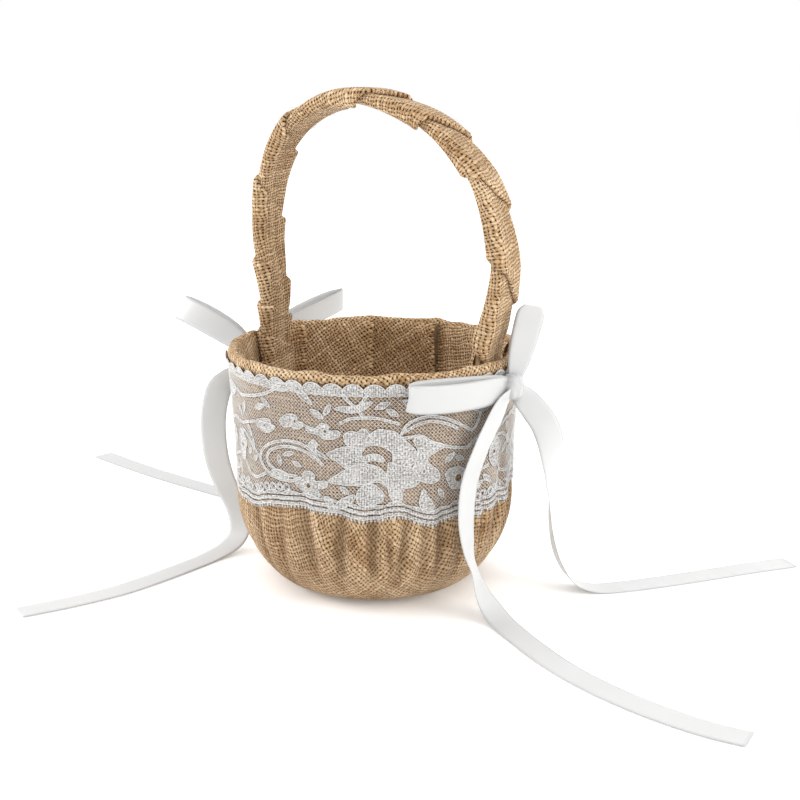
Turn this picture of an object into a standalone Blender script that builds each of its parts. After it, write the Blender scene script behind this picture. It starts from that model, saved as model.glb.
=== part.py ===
"""A small flower girl basket: a round bucket covered in burlap, with a lace band,
a wrapped arch handle and two satin ribbon bows.

The origin is the centre of the flat base. +Z is up, and the handle stands in the XZ plane,
so a bow sits at +X and at -X. The side at -Y is the front. Lengths are written in
millimetres and turned into metres by MM.
"""

import math

import bmesh
import bpy
from mathutils import Vector

MM = 0.001

# Driving dimensions, in millimetres.
GAP = 0.3                     # left between pieces that touch
PATCH_RADIUS = 33.0           # burlap disc under the base
PATCH_THICKNESS = 0.8
BASE_RADIUS = 36.0            # flat part of the bucket's bottom
CORNER_RADIUS = 61.0          # where the rounded bottom meets the wall
CORNER_HEIGHT = 45.0
RIM_RADIUS = 64.9
RIM_HEIGHT = 107.8
COVER_THICKNESS = 0.9
PAIL_THICKNESS = 1.4
LINING_THICKNESS = 0.9
BOARD_RADIUS = 34.0
BOARD_THICKNESS = 1.5
LINING_FLOOR_RADIUS = 40.0
LINING_FLOOR_THICKNESS = 1.0
HEM_HEIGHT = 3.9
HEM_ROUNDING = 1.6
HEM_OVERHANG = 0.2            # the hem stands this far outside the cover
LACE_BOTTOM = 46.0
LACE_THICKNESS = 0.5
LACE_BELOW_HEM = 0.6
WRAP_WIDTH = 19.4
WRAP_DEPTH = 7.4
WRAP_WALL = 1.2
WRAP_ROUNDING = 2.6
CORE_WIDTH = 14.0
CORE_DEPTH = 2.6
CORE_ROUNDING = 0.6
GLUE_SIZE = (0.8, 13.0, 24.0)
GLUE_PLACE = (57.7, 0.0, 77.0)
GLUE_ROUNDING = 0.25
KNOT_PLACE = (69.5, 0.0, 97.0)
KNOT_SIZE = (7.8, 11.0, 11.0)
RIBBON_WIDTH = 12.0
RIBBON_THICKNESS = 0.5
RIBBON_LIFT = 0.1             # between a ribbon and the floor
TURN_STEPS = 40               # facets round the bucket
CORNER_STEPS = 7              # facets down its rounded bottom
ROUND_STEPS = 2               # facets round a quarter of the hem's edge
LOOP_STEPS = 22
TAIL_STEPS = 4                # between two points of a tail's route
HANDLE_STEPS = 2              # between two points of the handle's route
WRAP_CORNER_STEPS = 2
CORE_CORNER_STEPS = 1
KNOT_SEGMENTS = 14
KNOT_RINGS = 8
SMOOTH_ANGLE = 40.0           # degrees; a sharper edge stays sharp
MERGE_DISTANCE = 0.00001      # metres

# The handle's centreline in its own plane, as (x, z), from the left foot over the top to the right foot.
HANDLE_ROUTE = [
    (-51.9, 62.0), (-53.4, 80.0), (-54.9, 98.0), (-55.6, 110.0), (-55.4, 122.0), (-56.6, 136.0),
    (-58.4, 150.0), (-57.4, 165.0), (-54.6, 180.0), (-48.0, 194.0), (-37.0, 205.5), (-21.0, 213.2),
    (-3.0, 214.8), (14.0, 211.2), (30.0, 204.6), (43.5, 194.5), (54.0, 182.0), (60.8, 166.0),
    (64.2, 150.0), (63.4, 137.0), (60.4, 123.0), (56.0, 110.0), (54.9, 98.0), (53.4, 80.0),
    (51.9, 62.0),
]

# A ribbon tail's route, as (x, y, z, heading of the ribbon's width in degrees).
TAIL_ROUTES = {
    "ribbon_tail_right_front": [
        (68.8, -5.6, 90.4, 86), (68.6, -11.0, 83.5, 66), (66.6, -18.0, 74.0, 46),
        (63.8, -24.4, 61.0, 32), (63.2, -27.0, 46.0, 12), (63.4, -25.0, 33.0, -28),
        (64.2, -22.6, 22.0, -60), (67.6, -21.6, 11.0, -90), (76.0, -23.6, 2.6, -116),
        (88.0, -31.0, 0.6, -124), (106.0, -43.0, 0.5, -122), (122.0, -52.0, 0.5, -116),
        (139.0, -59.0, 0.5, -109), (157.0, -64.4, 0.5, -104), (174.0, -67.6, 0.5, -98),
        (187.0, -68.6, 0.5, -92), (200.0, -68.0, 0.5, -87),
    ],
    "ribbon_tail_right_side": [
        (71.8, 4.6, 90.4, 86), (76.0, 5.0, 87.0, 72), (81.0, 5.2, 80.0, 56), (83.0, 7.6, 71.0, 62),
        (81.6, 12.6, 60.0, 84), (79.0, 18.0, 50.0, 104), (77.6, 22.0, 38.0, 118),
        (77.6, 24.4, 26.0, 126), (80.4, 25.4, 14.0, 132), (87.0, 26.4, 4.6, 136),
        (96.0, 31.0, 0.8, 138), (106.0, 40.0, 0.5, 138), (118.0, 54.0, 0.5, 140),
        (132.0, 72.0, 0.5, 142), (146.0, 91.0, 0.5, 143), (161.0, 110.0, 0.5, 142),
    ],
    "ribbon_tail_left_front": [
        (-69.0, -5.6, 90.4, 86), (-74.0, -9.4, 86.6, 66), (-79.4, -13.0, 79.0, 46),
        (-80.6, -16.4, 67.0, 34), (-79.4, -18.0, 54.0, 28), (-78.2, -16.6, 42.0, 24),
        (-76.6, -12.8, 30.0, 20), (-74.0, -9.0, 19.0, 14), (-72.6, -9.2, 10.0, 6),
        (-73.0, -15.6, 3.2, -2), (-75.0, -30.0, 0.6, -5), (-76.6, -46.0, 0.5, -6),
        (-79.0, -64.0, 0.5, -9), (-83.0, -83.0, 0.5, -14), (-91.4, -104.0, 0.5, -21),
        (-102.0, -124.0, 0.5, -26),
    ],
    "ribbon_tail_left_back": [
        (-71.8, 4.6, 90.4, 86), (-76.0, 8.6, 86.0, 72), (-81.0, 14.0, 77.0, 58),
        (-83.6, 19.6, 64.0, 50), (-85.0, 25.0, 50.0, 48), (-88.0, 31.0, 34.0, 54),
        (-93.6, 38.0, 18.0, 66), (-103.0, 44.6, 6.0, 76), (-116.0, 49.0, 1.0, 80),
        (-132.0, 51.0, 0.5, 84), (-149.0, 53.0, 0.5, 84), (-171.0, 56.0, 0.5, 82),
        (-193.0, 59.6, 0.5, 80), (-216.0, 64.4, 0.5, 78), (-239.0, 70.0, 0.5, 77),
    ],
}

# A bow loop, as its middle and tip measured from the knot's centre, the way the ribbon's width runs,
# the side that the loop opens to, and how far its two layers part.
LOOPS = {
    "bow_loop_right_front": ((-3.6, -27.0, 1.4), (-19.6, -52.0, 3.0), (0, 0, 1), (0.92, -0.4, 0), 2.2),
    "bow_loop_right_up": ((2.6, 4.0, 16.0), (5.6, 9.6, 31.0), (0.26, 0.96, -0.3), (0.96, -0.26, -0.1), 3.4),
    "bow_loop_left_front": ((-22.0, -1.0, 12.0), (-45.0, 2.0, 16.0), (0.5, 0.3, 0.8), (0.2, 0.9, -0.3), 3.6),
    "bow_loop_left_back": ((-3.0, 32.0, 8.0), (11.0, 60.0, 16.5), (0.2, -0.3, 0.9), (0.9, 0.3, 0.0), 3.6),
}
LOOP_START = 0.085            # share of the loop hidden in the knot at each end

BURLAP = ("burlap", (0.46, 0.32, 0.18, 1.0), 0.95, 0.0)
PLASTIC = ("pail_plastic", (0.62, 0.56, 0.46, 1.0), 0.5, 0.0)
CARD = ("grey_board", (0.48, 0.44, 0.38, 1.0), 0.9, 0.0)
LACE = ("lace", (0.90, 0.89, 0.88, 1.0), 0.8, 0.0)
SATIN = ("satin_ribbon", (0.93, 0.93, 0.94, 1.0), 0.35, 0.0)
GLUE = ("hot_glue", (0.80, 0.76, 0.62, 1.0), 0.3, 0.0)
STRIP = ("handle_strip", (0.42, 0.42, 0.44, 1.0), 0.35, 1.0)


# ---------------------------------------------------------------- scene and materials

def clear_scene():
    for old in list(bpy.data.objects):
        bpy.data.objects.remove(old)


def new_collection(name):
    made = bpy.data.collections.new(name)
    bpy.context.scene.collection.children.link(made)
    return made


def material(finish):
    name, colour, roughness, metallic = finish
    made = bpy.data.materials.get(name)
    if made is None:
        made = bpy.data.materials.new(name)
        made.use_nodes = True
        shader = made.node_tree.nodes["Principled BSDF"]
        shader.inputs["Base Color"].default_value = colour
        shader.inputs["Roughness"].default_value = roughness
        shader.inputs["Metallic"].default_value = metallic
    return made


def add_piece(name, data, finish):
    piece = bpy.data.objects.new(name, data)
    parts.objects.link(piece)
    data.materials.append(material(finish))
    return piece


def shade_round(mesh):
    mesh.shade_smooth()
    mesh.set_sharp_from_angle(angle=math.radians(SMOOTH_ANGLE))


# ---------------------------------------------------------------- turned pieces

def wall_radius(z):
    """The cover's outer radius in the tapered wall above the rounded bottom."""
    corner_top = cover_base + CORNER_HEIGHT
    share = (z - corner_top) / (RIM_HEIGHT - corner_top)
    return CORNER_RADIUS + (RIM_RADIUS - CORNER_RADIUS) * share


def bucket_outline(inset, top):
    """Points (r, z) of the bucket's outline, moved in by inset, from the bottom's middle to height top.

    The rounded bottom is a quarter of an ellipse, and the wall above it is straight.
    """
    points = [(0.0, cover_base + inset)]
    half_width = CORNER_RADIUS - BASE_RADIUS
    for i in range(CORNER_STEPS + 1):
        angle = math.pi / 2 * i / CORNER_STEPS
        out = Vector((math.sin(angle) / half_width, -math.cos(angle) / CORNER_HEIGHT)).normalized()
        r = BASE_RADIUS + half_width * math.sin(angle) - inset * out.x
        z = cover_base + CORNER_HEIGHT * (1 - math.cos(angle)) - inset * out.y
        points.append((r, z))
    points.append((wall_radius(top) - inset, top))
    return points


def turned(name, outline, finish, closed=False):
    """A body turned about Z from an outline of (r, z) points that runs down its outer side."""
    mesh = bpy.data.meshes.new(name)
    verts = [(r * MM, 0.0, z * MM) for r, z in outline]
    edges = [(i, i + 1) for i in range(len(verts) - 1)]
    if closed:
        edges.append((len(verts) - 1, 0))
    mesh.from_pydata(verts, edges, [])
    piece = add_piece(name, mesh, finish)
    screw = piece.modifiers.new("turn", "SCREW")
    screw.steps = TURN_STEPS
    screw.render_steps = TURN_STEPS
    screw.use_merge_vertices = True
    screw.merge_threshold = MERGE_DISTANCE
    screw.use_smooth_shade = True
    return piece


def cup(name, outer_inset, thickness, top, finish):
    """A bucket-shaped shell with a closed bottom."""
    inner = bucket_outline(outer_inset + thickness, top)
    outer = bucket_outline(outer_inset, top)
    return turned(name, inner + outer[::-1], finish)


def disc(name, radius, low, high, finish):
    return turned(name, [(0.0, high), (radius, high), (radius, low), (0.0, low)], finish)


def lining_ring(name, outer_inset, thickness, bottom, top, finish):
    """The lining: the upper part of a bucket-shaped shell, open at its bottom."""
    inner = [p for p in bucket_outline(outer_inset + thickness, top) if p[1] >= bottom]
    outer = [p for p in bucket_outline(outer_inset, top) if p[1] >= bottom]
    return turned(name, inner + outer[::-1], finish, closed=True)


def hem_ring(name, finish):
    """The rolled hem: a ring whose section is a rectangle with round corners."""
    inner = wall_radius(RIM_HEIGHT) - layers_thickness
    outer = RIM_RADIUS + HEM_OVERHANG
    low = RIM_HEIGHT - HEM_HEIGHT
    middle = ((inner + outer) / 2, (low + RIM_HEIGHT) / 2)
    half = ((outer - inner) / 2 - HEM_ROUNDING, HEM_HEIGHT / 2 - HEM_ROUNDING)
    section = []
    for quarter in range(4):
        side = (1 if quarter in (0, 3) else -1, 1 if quarter in (0, 1) else -1)
        for step in range(ROUND_STEPS + 1):
            angle = math.pi / 2 * (quarter + step / ROUND_STEPS)
            r = middle[0] + side[0] * half[0] + HEM_ROUNDING * math.cos(angle)
            z = middle[1] + side[1] * half[1] + HEM_ROUNDING * math.sin(angle)
            section.append((r, z))
    return turned(name, section[::-1], finish, closed=True)


def lace_ring(name, finish):
    top = RIM_HEIGHT - HEM_HEIGHT - LACE_BELOW_HEM
    low_radius = wall_radius(LACE_BOTTOM) + GAP
    high_radius = wall_radius(top) + GAP
    outline = [
        (low_radius, LACE_BOTTOM), (high_radius, top),
        (high_radius + LACE_THICKNESS, top), (low_radius + LACE_THICKNESS, LACE_BOTTOM),
    ]
    return turned(name, outline, finish, closed=True)


# ---------------------------------------------------------------- handle

def smooth_route(points, steps):
    """Points along a Catmull-Rom curve through the route's own points."""
    ends = [[2 * a - b for a, b in zip(points[0], points[1])]]
    tails = [[2 * a - b for a, b in zip(points[-1], points[-2])]]
    route = ends + [list(p) for p in points] + tails
    made = []
    for i in range(1, len(route) - 2):
        p0, p1, p2, p3 = route[i - 1:i + 3]
        for step in range(steps):
            t = step / steps
            made.append([
                0.5 * (2 * b + (c - a) * t + (2 * a - 5 * b + 4 * c - d) * t * t
                       + (3 * b - a - 3 * c + d) * t ** 3)
                for a, b, c, d in zip(p0, p1, p2, p3)
            ])
    made.append(list(points[-1]))
    return made


def section_curve(name, width, depth, rounding, corner_steps):
    """A closed outline with round corners, swept along the handle's route."""
    curve = bpy.data.curves.new(name, "CURVE")
    curve.dimensions = "2D"
    spline = curve.splines.new("POLY")
    points = []
    for quarter in range(4):
        side = (1 if quarter in (0, 3) else -1, 1 if quarter in (0, 1) else -1)
        for step in range(corner_steps + 1):
            angle = math.pi / 2 * (quarter + step / corner_steps)
            points.append((
                side[0] * (depth / 2 - rounding) + rounding * math.cos(angle),
                side[1] * (width / 2 - rounding) + rounding * math.sin(angle),
            ))
    spline.points.add(len(points) - 1)
    for point, (x, y) in zip(spline.points, points):
        point.co = (x * MM, y * MM, 0.0, 1.0)
    spline.use_cyclic_u = True
    guide = bpy.data.objects.new(name, curve)
    guides.objects.link(guide)
    guide.hide_render = True
    guide.display_type = "WIRE"
    return guide


def swept(name, route, guide, caps):
    """The mesh of a curve that sweeps the guide's outline along a route in the XZ plane."""
    curve = bpy.data.curves.new(name, "CURVE")
    curve.dimensions = "3D"
    curve.twist_mode = "Z_UP"
    curve.bevel_mode = "OBJECT"
    curve.bevel_object = guide
    curve.use_fill_caps = caps
    spline = curve.splines.new("POLY")
    spline.points.add(len(route) - 1)
    # The curve is drawn flat in XY, where its sections keep one direction, and then stood up.
    for point, (x, z) in zip(spline.points, route):
        point.co = (x * MM, z * MM, 0.0, 1.0)
    source = bpy.data.objects.new(name + "_curve", curve)
    bpy.context.scene.collection.objects.link(source)
    source.rotation_euler = (math.pi / 2, 0.0, 0.0)
    bpy.context.view_layer.update()
    evaluated = source.evaluated_get(bpy.context.evaluated_depsgraph_get())
    mesh = bpy.data.meshes.new_from_object(evaluated)
    mesh.name = name
    mesh.transform(source.matrix_world)
    bpy.data.objects.remove(source)
    shape = bmesh.new()
    shape.from_mesh(mesh)
    bmesh.ops.remove_doubles(shape, verts=shape.verts, dist=MERGE_DISTANCE)
    bmesh.ops.recalc_face_normals(shape, faces=shape.faces)
    shape.to_mesh(mesh)
    shape.free()
    mesh.materials.clear()
    return mesh


def make_handle():
    route = smooth_route(HANDLE_ROUTE, HANDLE_STEPS)
    wrap_guide = section_curve(
        "wrap_section", WRAP_WIDTH, WRAP_DEPTH, WRAP_ROUNDING, WRAP_CORNER_STEPS
    )
    wrap_mesh = swept("handle_wrap", route, wrap_guide, caps=False)
    wrap = add_piece("handle_wrap", wrap_mesh, BURLAP)
    wall = wrap.modifiers.new("burlap wall", "SOLIDIFY")
    wall.thickness = WRAP_WALL * MM
    wall.offset = -1.0
    core_guide = section_curve(
        "core_section", CORE_WIDTH, CORE_DEPTH, CORE_ROUNDING, CORE_CORNER_STEPS
    )
    core_mesh = swept("handle_core", route[1:-1], core_guide, caps=True)
    add_piece("handle_core", core_mesh, STRIP)
    for mesh in (wrap_mesh, core_mesh):
        shade_round(mesh)


def make_glue(side):
    """A pad of hot glue that holds a handle foot to the lining."""
    name = "foot_glue_right" if side > 0 else "foot_glue_left"
    mesh = bpy.data.meshes.new(name)
    shape = bmesh.new()
    bmesh.ops.create_cube(shape, size=1.0)
    bmesh.ops.scale(shape, vec=Vector(GLUE_SIZE) * MM, verts=shape.verts)
    shape.to_mesh(mesh)
    shape.free()
    pad = add_piece(name, mesh, GLUE)
    lean = math.atan2(HANDLE_ROUTE[1][0] - HANDLE_ROUTE[0][0], HANDLE_ROUTE[1][1] - HANDLE_ROUTE[0][1])
    x, y, z = GLUE_PLACE
    pad.location = Vector((side * x, y, z)) * MM
    pad.rotation_euler = (0.0, -side * lean, 0.0)
    rounding = pad.modifiers.new("soft edge", "BEVEL")
    rounding.width = GLUE_ROUNDING * MM
    rounding.segments = 1


# ---------------------------------------------------------------- ribbon

def ribbon(name, route, widths, finish):
    """A flat ribbon: a strip of faces along a route, given its thickness by Solidify."""
    mesh = bpy.data.meshes.new(name)
    shape = bmesh.new()
    rows = []
    for i, centre in enumerate(route):
        along = (route[min(i + 1, len(route) - 1)] - route[max(i - 1, 0)]).normalized()
        across = widths[i] - along * widths[i].dot(along)
        across = across.normalized() * (RIBBON_WIDTH / 2)
        rows.append([shape.verts.new((centre + across * k) * MM) for k in (-1, 1)])
    for near, far in zip(rows, rows[1:]):
        shape.faces.new((near[0], near[1], far[1], far[0]))
    shape.to_mesh(mesh)
    shape.free()
    piece = add_piece(name, mesh, finish)
    body = piece.modifiers.new("ribbon thickness", "SOLIDIFY")
    body.thickness = RIBBON_THICKNESS * MM
    body.offset = 0.0
    return piece


def make_tail(name, points):
    """A free ribbon end, which hangs from its knot and runs out along the floor."""
    route = smooth_route(points, TAIL_STEPS)
    centres = [Vector(p[:3]) for p in route]
    for centre in centres:
        centre.z = max(centre.z, RIBBON_THICKNESS / 2 + RIBBON_LIFT)
    widths = [Vector((math.cos(math.radians(p[3])), math.sin(math.radians(p[3])), 0.0)) for p in route]
    return ribbon(name, centres, widths, SATIN)


def make_loop(name, middle, tip, width, side, parting):
    """A bow loop: out from the knot, round its tip and back, beside itself."""
    mirror = -1.0 if "left" in name else 1.0
    knot = Vector((mirror * KNOT_PLACE[0], KNOT_PLACE[1], KNOT_PLACE[2]))
    middle, tip, side = Vector(middle), Vector(tip), Vector(side).normalized()
    centres = []
    for i in range(LOOP_STEPS + 1):
        t = LOOP_START + (1 - 2 * LOOP_START) * i / LOOP_STEPS
        share = math.sin(math.pi * t)
        centre = middle * 2 * share * (1 - share) + tip * share * share
        centres.append(knot + centre + side * parting * math.sin(2 * math.pi * t))
    return ribbon(name, centres, [Vector(width)] * len(centres), SATIN)


def make_knot(side):
    """The bow's knot: a soft rounded lump that lies against the lace."""
    name = "bow_knot_right" if side > 0 else "bow_knot_left"
    mesh = bpy.data.meshes.new(name)
    shape = bmesh.new()
    bmesh.ops.create_uvsphere(shape, u_segments=KNOT_SEGMENTS, v_segments=KNOT_RINGS, radius=0.5)
    bmesh.ops.scale(shape, vec=Vector(KNOT_SIZE) * MM, verts=shape.verts)
    shape.to_mesh(mesh)
    shape.free()
    knot = add_piece(name, mesh, SATIN)
    knot.location = Vector((side * KNOT_PLACE[0], KNOT_PLACE[1], KNOT_PLACE[2])) * MM
    shade_round(mesh)


# ---------------------------------------------------------------- assembly

clear_scene()
parts = new_collection("flower_girl_basket")
guides = new_collection("guides")
cover_base = PATCH_THICKNESS + GAP
layers_thickness = COVER_THICKNESS + PAIL_THICKNESS + LINING_THICKNESS + 2 * GAP
layers_top = RIM_HEIGHT - HEM_HEIGHT - GAP
pail_inset = COVER_THICKNESS + GAP
lining_inset = pail_inset + PAIL_THICKNESS + GAP
board_bottom = cover_base + pail_inset + PAIL_THICKNESS + GAP
floor_bottom = board_bottom + BOARD_THICKNESS + GAP
floor_top = floor_bottom + LINING_FLOOR_THICKNESS

disc("base_patch", PATCH_RADIUS, 0.0, PATCH_THICKNESS, BURLAP)
cup("outer_cover", 0.0, COVER_THICKNESS, layers_top, BURLAP)
cup("pail_shell", pail_inset, PAIL_THICKNESS, layers_top, PLASTIC)
disc("base_board", BOARD_RADIUS, board_bottom, board_bottom + BOARD_THICKNESS, CARD)
disc("lining_floor", LINING_FLOOR_RADIUS, floor_bottom, floor_top, BURLAP)
lining_ring("lining_wall", lining_inset, LINING_THICKNESS, floor_top + GAP, layers_top, BURLAP)
hem_ring("rim_hem", BURLAP)
lace_ring("lace_band", LACE)
make_handle()
for side in (-1, 1):
    make_glue(side)
    make_knot(side)
for name, (middle, tip, width, side, parting) in LOOPS.items():
    make_loop(name, middle, tip, width, side, parting)
for name, points in TAIL_ROUTES.items():
    make_tail(name, points)
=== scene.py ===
# %% [markdown]
# # A flower girl basket: burlap over a small bucket, a band of lace, and a ribbon bow on each side
#
# The real object is a plastic bucket that somebody dressed: burlap outside, pleated burlap
# inside, a lace band round the wall, a flat handle bandaged with a burlap strip, and a satin
# bow tied where each end of the handle goes into the bucket.
#
# Everything is built in millimetres with plain numbers, and `MM` turns it into metres once,
# when a mesh is made. The frame's origin is on the floor under the middle of the bucket. The
# handle stands in the XZ plane, and the camera looks from the front right.

# %% Tools, the frame and its box
import math

import bmesh
import bpy
import numpy as np
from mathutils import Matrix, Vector


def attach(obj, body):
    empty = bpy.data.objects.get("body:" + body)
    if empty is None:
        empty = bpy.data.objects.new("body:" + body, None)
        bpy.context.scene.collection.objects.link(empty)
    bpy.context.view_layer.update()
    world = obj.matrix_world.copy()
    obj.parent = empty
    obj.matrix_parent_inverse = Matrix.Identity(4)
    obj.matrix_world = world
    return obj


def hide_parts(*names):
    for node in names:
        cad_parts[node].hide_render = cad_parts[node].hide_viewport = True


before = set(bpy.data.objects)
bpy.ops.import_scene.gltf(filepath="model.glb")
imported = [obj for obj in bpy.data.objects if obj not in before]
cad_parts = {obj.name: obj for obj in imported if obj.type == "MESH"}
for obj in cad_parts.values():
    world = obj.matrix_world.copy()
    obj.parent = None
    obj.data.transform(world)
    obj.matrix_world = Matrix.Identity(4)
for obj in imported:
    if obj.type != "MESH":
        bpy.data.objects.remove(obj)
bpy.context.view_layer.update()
MM = 0.001

# %% [markdown]
# ## Two helpers for every node tree
#
# The room, the Geometry Nodes tools and the materials are all node trees. A node is made,
# set and wired in one call of `add`: an input that is given another node's socket becomes a
# link, and an input that is given a number is set to it.


# %% Node helpers
def add(tree, kind, inputs=None, **settings):
    """A node with its settings, its constants and its links in one call."""
    node = tree.nodes.new(kind)
    for key, value in settings.items():
        setattr(node, key, value)
    for key, value in (inputs or {}).items():
        if isinstance(value, bpy.types.NodeSocket):
            tree.links.new(value, node.inputs[key])
        else:
            node.inputs[key].default_value = value
    return node


def mix(tree, share, first, second):
    """Two colours mixed. The colour sockets of a Mix node are its sixth and seventh."""
    inputs = {0: share, 6: first, 7: second}
    return add(tree, "ShaderNodeMix", inputs, data_type="RGBA").outputs[2]


print("node helpers ready")

# %% [markdown]
# ## The camera, the floor and the light
#
# The picture is a pale studio shot: the camera stands about 65 cm away, a little above the
# rim, and looks slightly down. A long lens keeps the bucket's sides nearly straight. The
# floor and the air are almost white, so the light is one wide soft box on each side, the
# left one stronger, and a bright world that fills the shadows.

# %% Camera
CAMERA_PLACE = (0.32678, -0.50320, 0.23440)
CAMERA_LOOK = (-0.51250, 0.82240, -0.24700)
LENS_MM = 61.8
SENSOR_MM = 36.0

scene = bpy.context.scene
lens = bpy.data.cameras.new("camera")
lens.lens = LENS_MM
lens.sensor_width = SENSOR_MM
lens.clip_start = 0.01
camera = bpy.data.objects.new("camera", lens)
camera.location = CAMERA_PLACE
camera.rotation_euler = Vector(CAMERA_LOOK).to_track_quat("-Z", "Y").to_euler()
scene.collection.objects.link(camera)
scene.camera = camera
print("camera", CAMERA_PLACE, "lens", LENS_MM)

# %% Floor, world and soft boxes
FLOOR_SIDE = 6.0
LIGHTS = [  # name, place, aim, width, height, watts
    ("soft_box_left", (-1.20, -0.45, 0.42), (0, 0, 0.10), 0.6, 0.7, 11.0),
    ("soft_box_right", (1.20, 0.05, 0.45), (0, 0, 0.12), 0.6, 0.7, 5.8),
]


def add_light(name, place, aim, width, height, watts):
    """One rectangular soft box that looks at a point."""
    data = bpy.data.lights.new(name, "AREA")
    data.shape = "RECTANGLE"
    data.size = width
    data.size_y = height
    data.energy = watts
    lamp = bpy.data.objects.new(name, data)
    lamp.location = place
    lamp.rotation_euler = (Vector(aim) - Vector(place)).to_track_quat("-Z", "Y").to_euler()
    scene.collection.objects.link(lamp)


for row in LIGHTS:
    add_light(*row)

# The room is white behind the basket and all round the horizon, dim on the side the viewer
# stands, and brightest above, where it whitens the floor.
ROOM_BRIGHT = (1.0, 1.0, 1.0, 1)
ROOM_DIM = (0.06, 0.06, 0.06, 1)
ROOM_ABOVE = (1.5, 1.5, 1.5, 1)
BEHIND_BASKET, STRAIGHT_UP = (-0.53, 0.85, 0.0), (0.0, 0.0, 1.0)
world = bpy.data.worlds.new("pale room")
world.use_nodes = True
room = world.node_tree
way = room.nodes.new("ShaderNodeTexCoord")


def room_blend(direction, low, high, first, second):
    """Two brightnesses blended by how far a ray turns towards a direction."""
    inputs = {0: way.outputs["Generated"], 1: direction}
    toward = add(room, "ShaderNodeVectorMath", inputs, operation="DOT_PRODUCT")
    inputs = {"Value": toward.outputs["Value"], "From Min": low, "From Max": high}
    spread = add(room, "ShaderNodeMapRange", inputs, interpolation_type="SMOOTHSTEP")
    return mix(room, spread.outputs["Result"], first, second)


level = room_blend(BEHIND_BASKET, -0.35, 0.35, ROOM_DIM, ROOM_BRIGHT)
level = room_blend(STRAIGHT_UP, 0.05, 0.15, ROOM_BRIGHT, level)
level = room_blend(STRAIGHT_UP, 0.25, 0.55, level, ROOM_ABOVE)
room.links.new(level, room.nodes["Background"].inputs["Color"])
scene.world = world
scene.view_settings.view_transform = "Standard"
scene.view_settings.look = "None"

floor_mesh = bpy.data.meshes.new("floor")
half = FLOOR_SIDE / 2
floor_mesh.from_pydata(
    [(-half, -half, 0), (half, -half, 0), (half, half, 0), (-half, half, 0)], [], [(0, 1, 2, 3)]
)
floor = bpy.data.objects.new("floor", floor_mesh)
scene.collection.objects.link(floor)
print("lights", len(LIGHTS), "floor", FLOOR_SIDE, "m")

# %% [markdown]
# ## Small helpers for meshes
#
# Almost every cloth here is a grid: rows go one way over the cloth and columns the other.
# `cloth_grid` makes such a grid, closes it into a ring when asked, and writes a UV map in
# metres, so that a weave of 1.5 mm is 1.5 mm on every piece. The last ring of faces takes its
# map from one extra column, so the weave doesn't run backwards over the joint.


# %% Mesh helpers
def finish_mesh(name, points, faces, uv_loops=None, fold=None):
    """A linked object with smooth faces. Points are in millimetres, and so is the UV map. fold
    is painted shade at every point, from 0 to 1: darker cloth in folds, greyer satin."""
    mesh = bpy.data.meshes.new(name)
    mesh.from_pydata((np.asarray(points) * MM).tolist(), [], faces)
    if uv_loops is not None:
        layer = mesh.uv_layers.new(name="UVMap")
        layer.data.foreach_set("uv", (np.asarray(uv_loops) * MM).ravel())
    mesh.shade_smooth()
    if fold is not None:
        shade = mesh.attributes.new("fold", "FLOAT", "POINT")
        shade.data.foreach_set("value", np.asarray(fold, float).ravel())
    piece = bpy.data.objects.new(name, mesh)
    scene.collection.objects.link(piece)
    return piece


def cloth_grid(name, points, uv, ring=False, upper_uv=None, split=0, flip=False, caps=False, fold=None):
    """A grid of cloth. points is rows x columns x 3, and uv is rows x columns (+1 on a ring) x 2.
    From row split on, the map is upper_uv: the weave then starts anew, as at a seam. caps
    closes a tube's two ends."""
    rows, columns = points.shape[:2]
    across = columns if ring else columns - 1
    r, c = np.mgrid[0 : rows - 1, 0:across]
    around = np.stack(
        [
            r * columns + c,
            r * columns + (c + 1) % columns,
            (r + 1) * columns + (c + 1) % columns,
            (r + 1) * columns + c,
        ],
        -1,
    ).reshape(-1, 4)
    corner_row = np.stack([r, r, r + 1, r + 1], -1).reshape(-1, 4)
    corner_column = np.stack([c, c + 1, c + 1, c], -1).reshape(-1, 4)
    loops = uv[corner_row, corner_column]
    if upper_uv is not None:
        above = (r.reshape(-1) >= split)[:, None, None]
        loops = np.where(above, upper_uv[corner_row, corner_column], loops)
    if flip:
        around = around[:, ::-1]
        loops = loops[:, ::-1]
    faces = around.tolist()
    loops = loops.reshape(-1, 2)
    if caps:
        first = list(range(columns))
        faces += [first[::-1], [(rows - 1) * columns + k for k in first]]
        loops = np.vstack([loops, uv[0, :-1][::-1], uv[-1, :-1]])
    return finish_mesh(name, points.reshape(-1, 3), faces, loops, fold)


def settle(piece, node=None):
    """Hide the CAD node a finished piece replaces, and attach the piece to the root body."""
    if node:
        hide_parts(node)
    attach(piece, "root")


# %% Shape helpers
def rising(x, start, width, low=0.0):
    """A share that grows from low to 1 over a width from start on."""
    return np.clip((x - start) / width, low, 1)


def falling(x, end, width, low=0.0):
    """A share that shrinks from 1 to low over a width and is done at end."""
    return np.clip((end - x) / width, low, 1)


def bell(x, width):
    """A smooth hill, 1 at zero and near 0 past twice the width."""
    return np.exp(-((x / width) ** 2))


def blocky(x, power):
    """A sine or cosine pushed towards -1 and 1, which makes a round section boxy."""
    return np.sign(x) * np.abs(x) ** power


def round_points(radius, angle, z):
    """Points given by their distance from the bucket's axis, direction and height."""
    return np.stack([radius * np.cos(angle), radius * np.sin(angle), z + 0 * radius], -1)


def turned(u, v, degrees):
    """Flat cloth coordinates turned by an angle, as a last axis of two."""
    a = np.radians(degrees)
    return np.stack([u * np.cos(a) - v * np.sin(a), u * np.sin(a) + v * np.cos(a)], -1)


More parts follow.
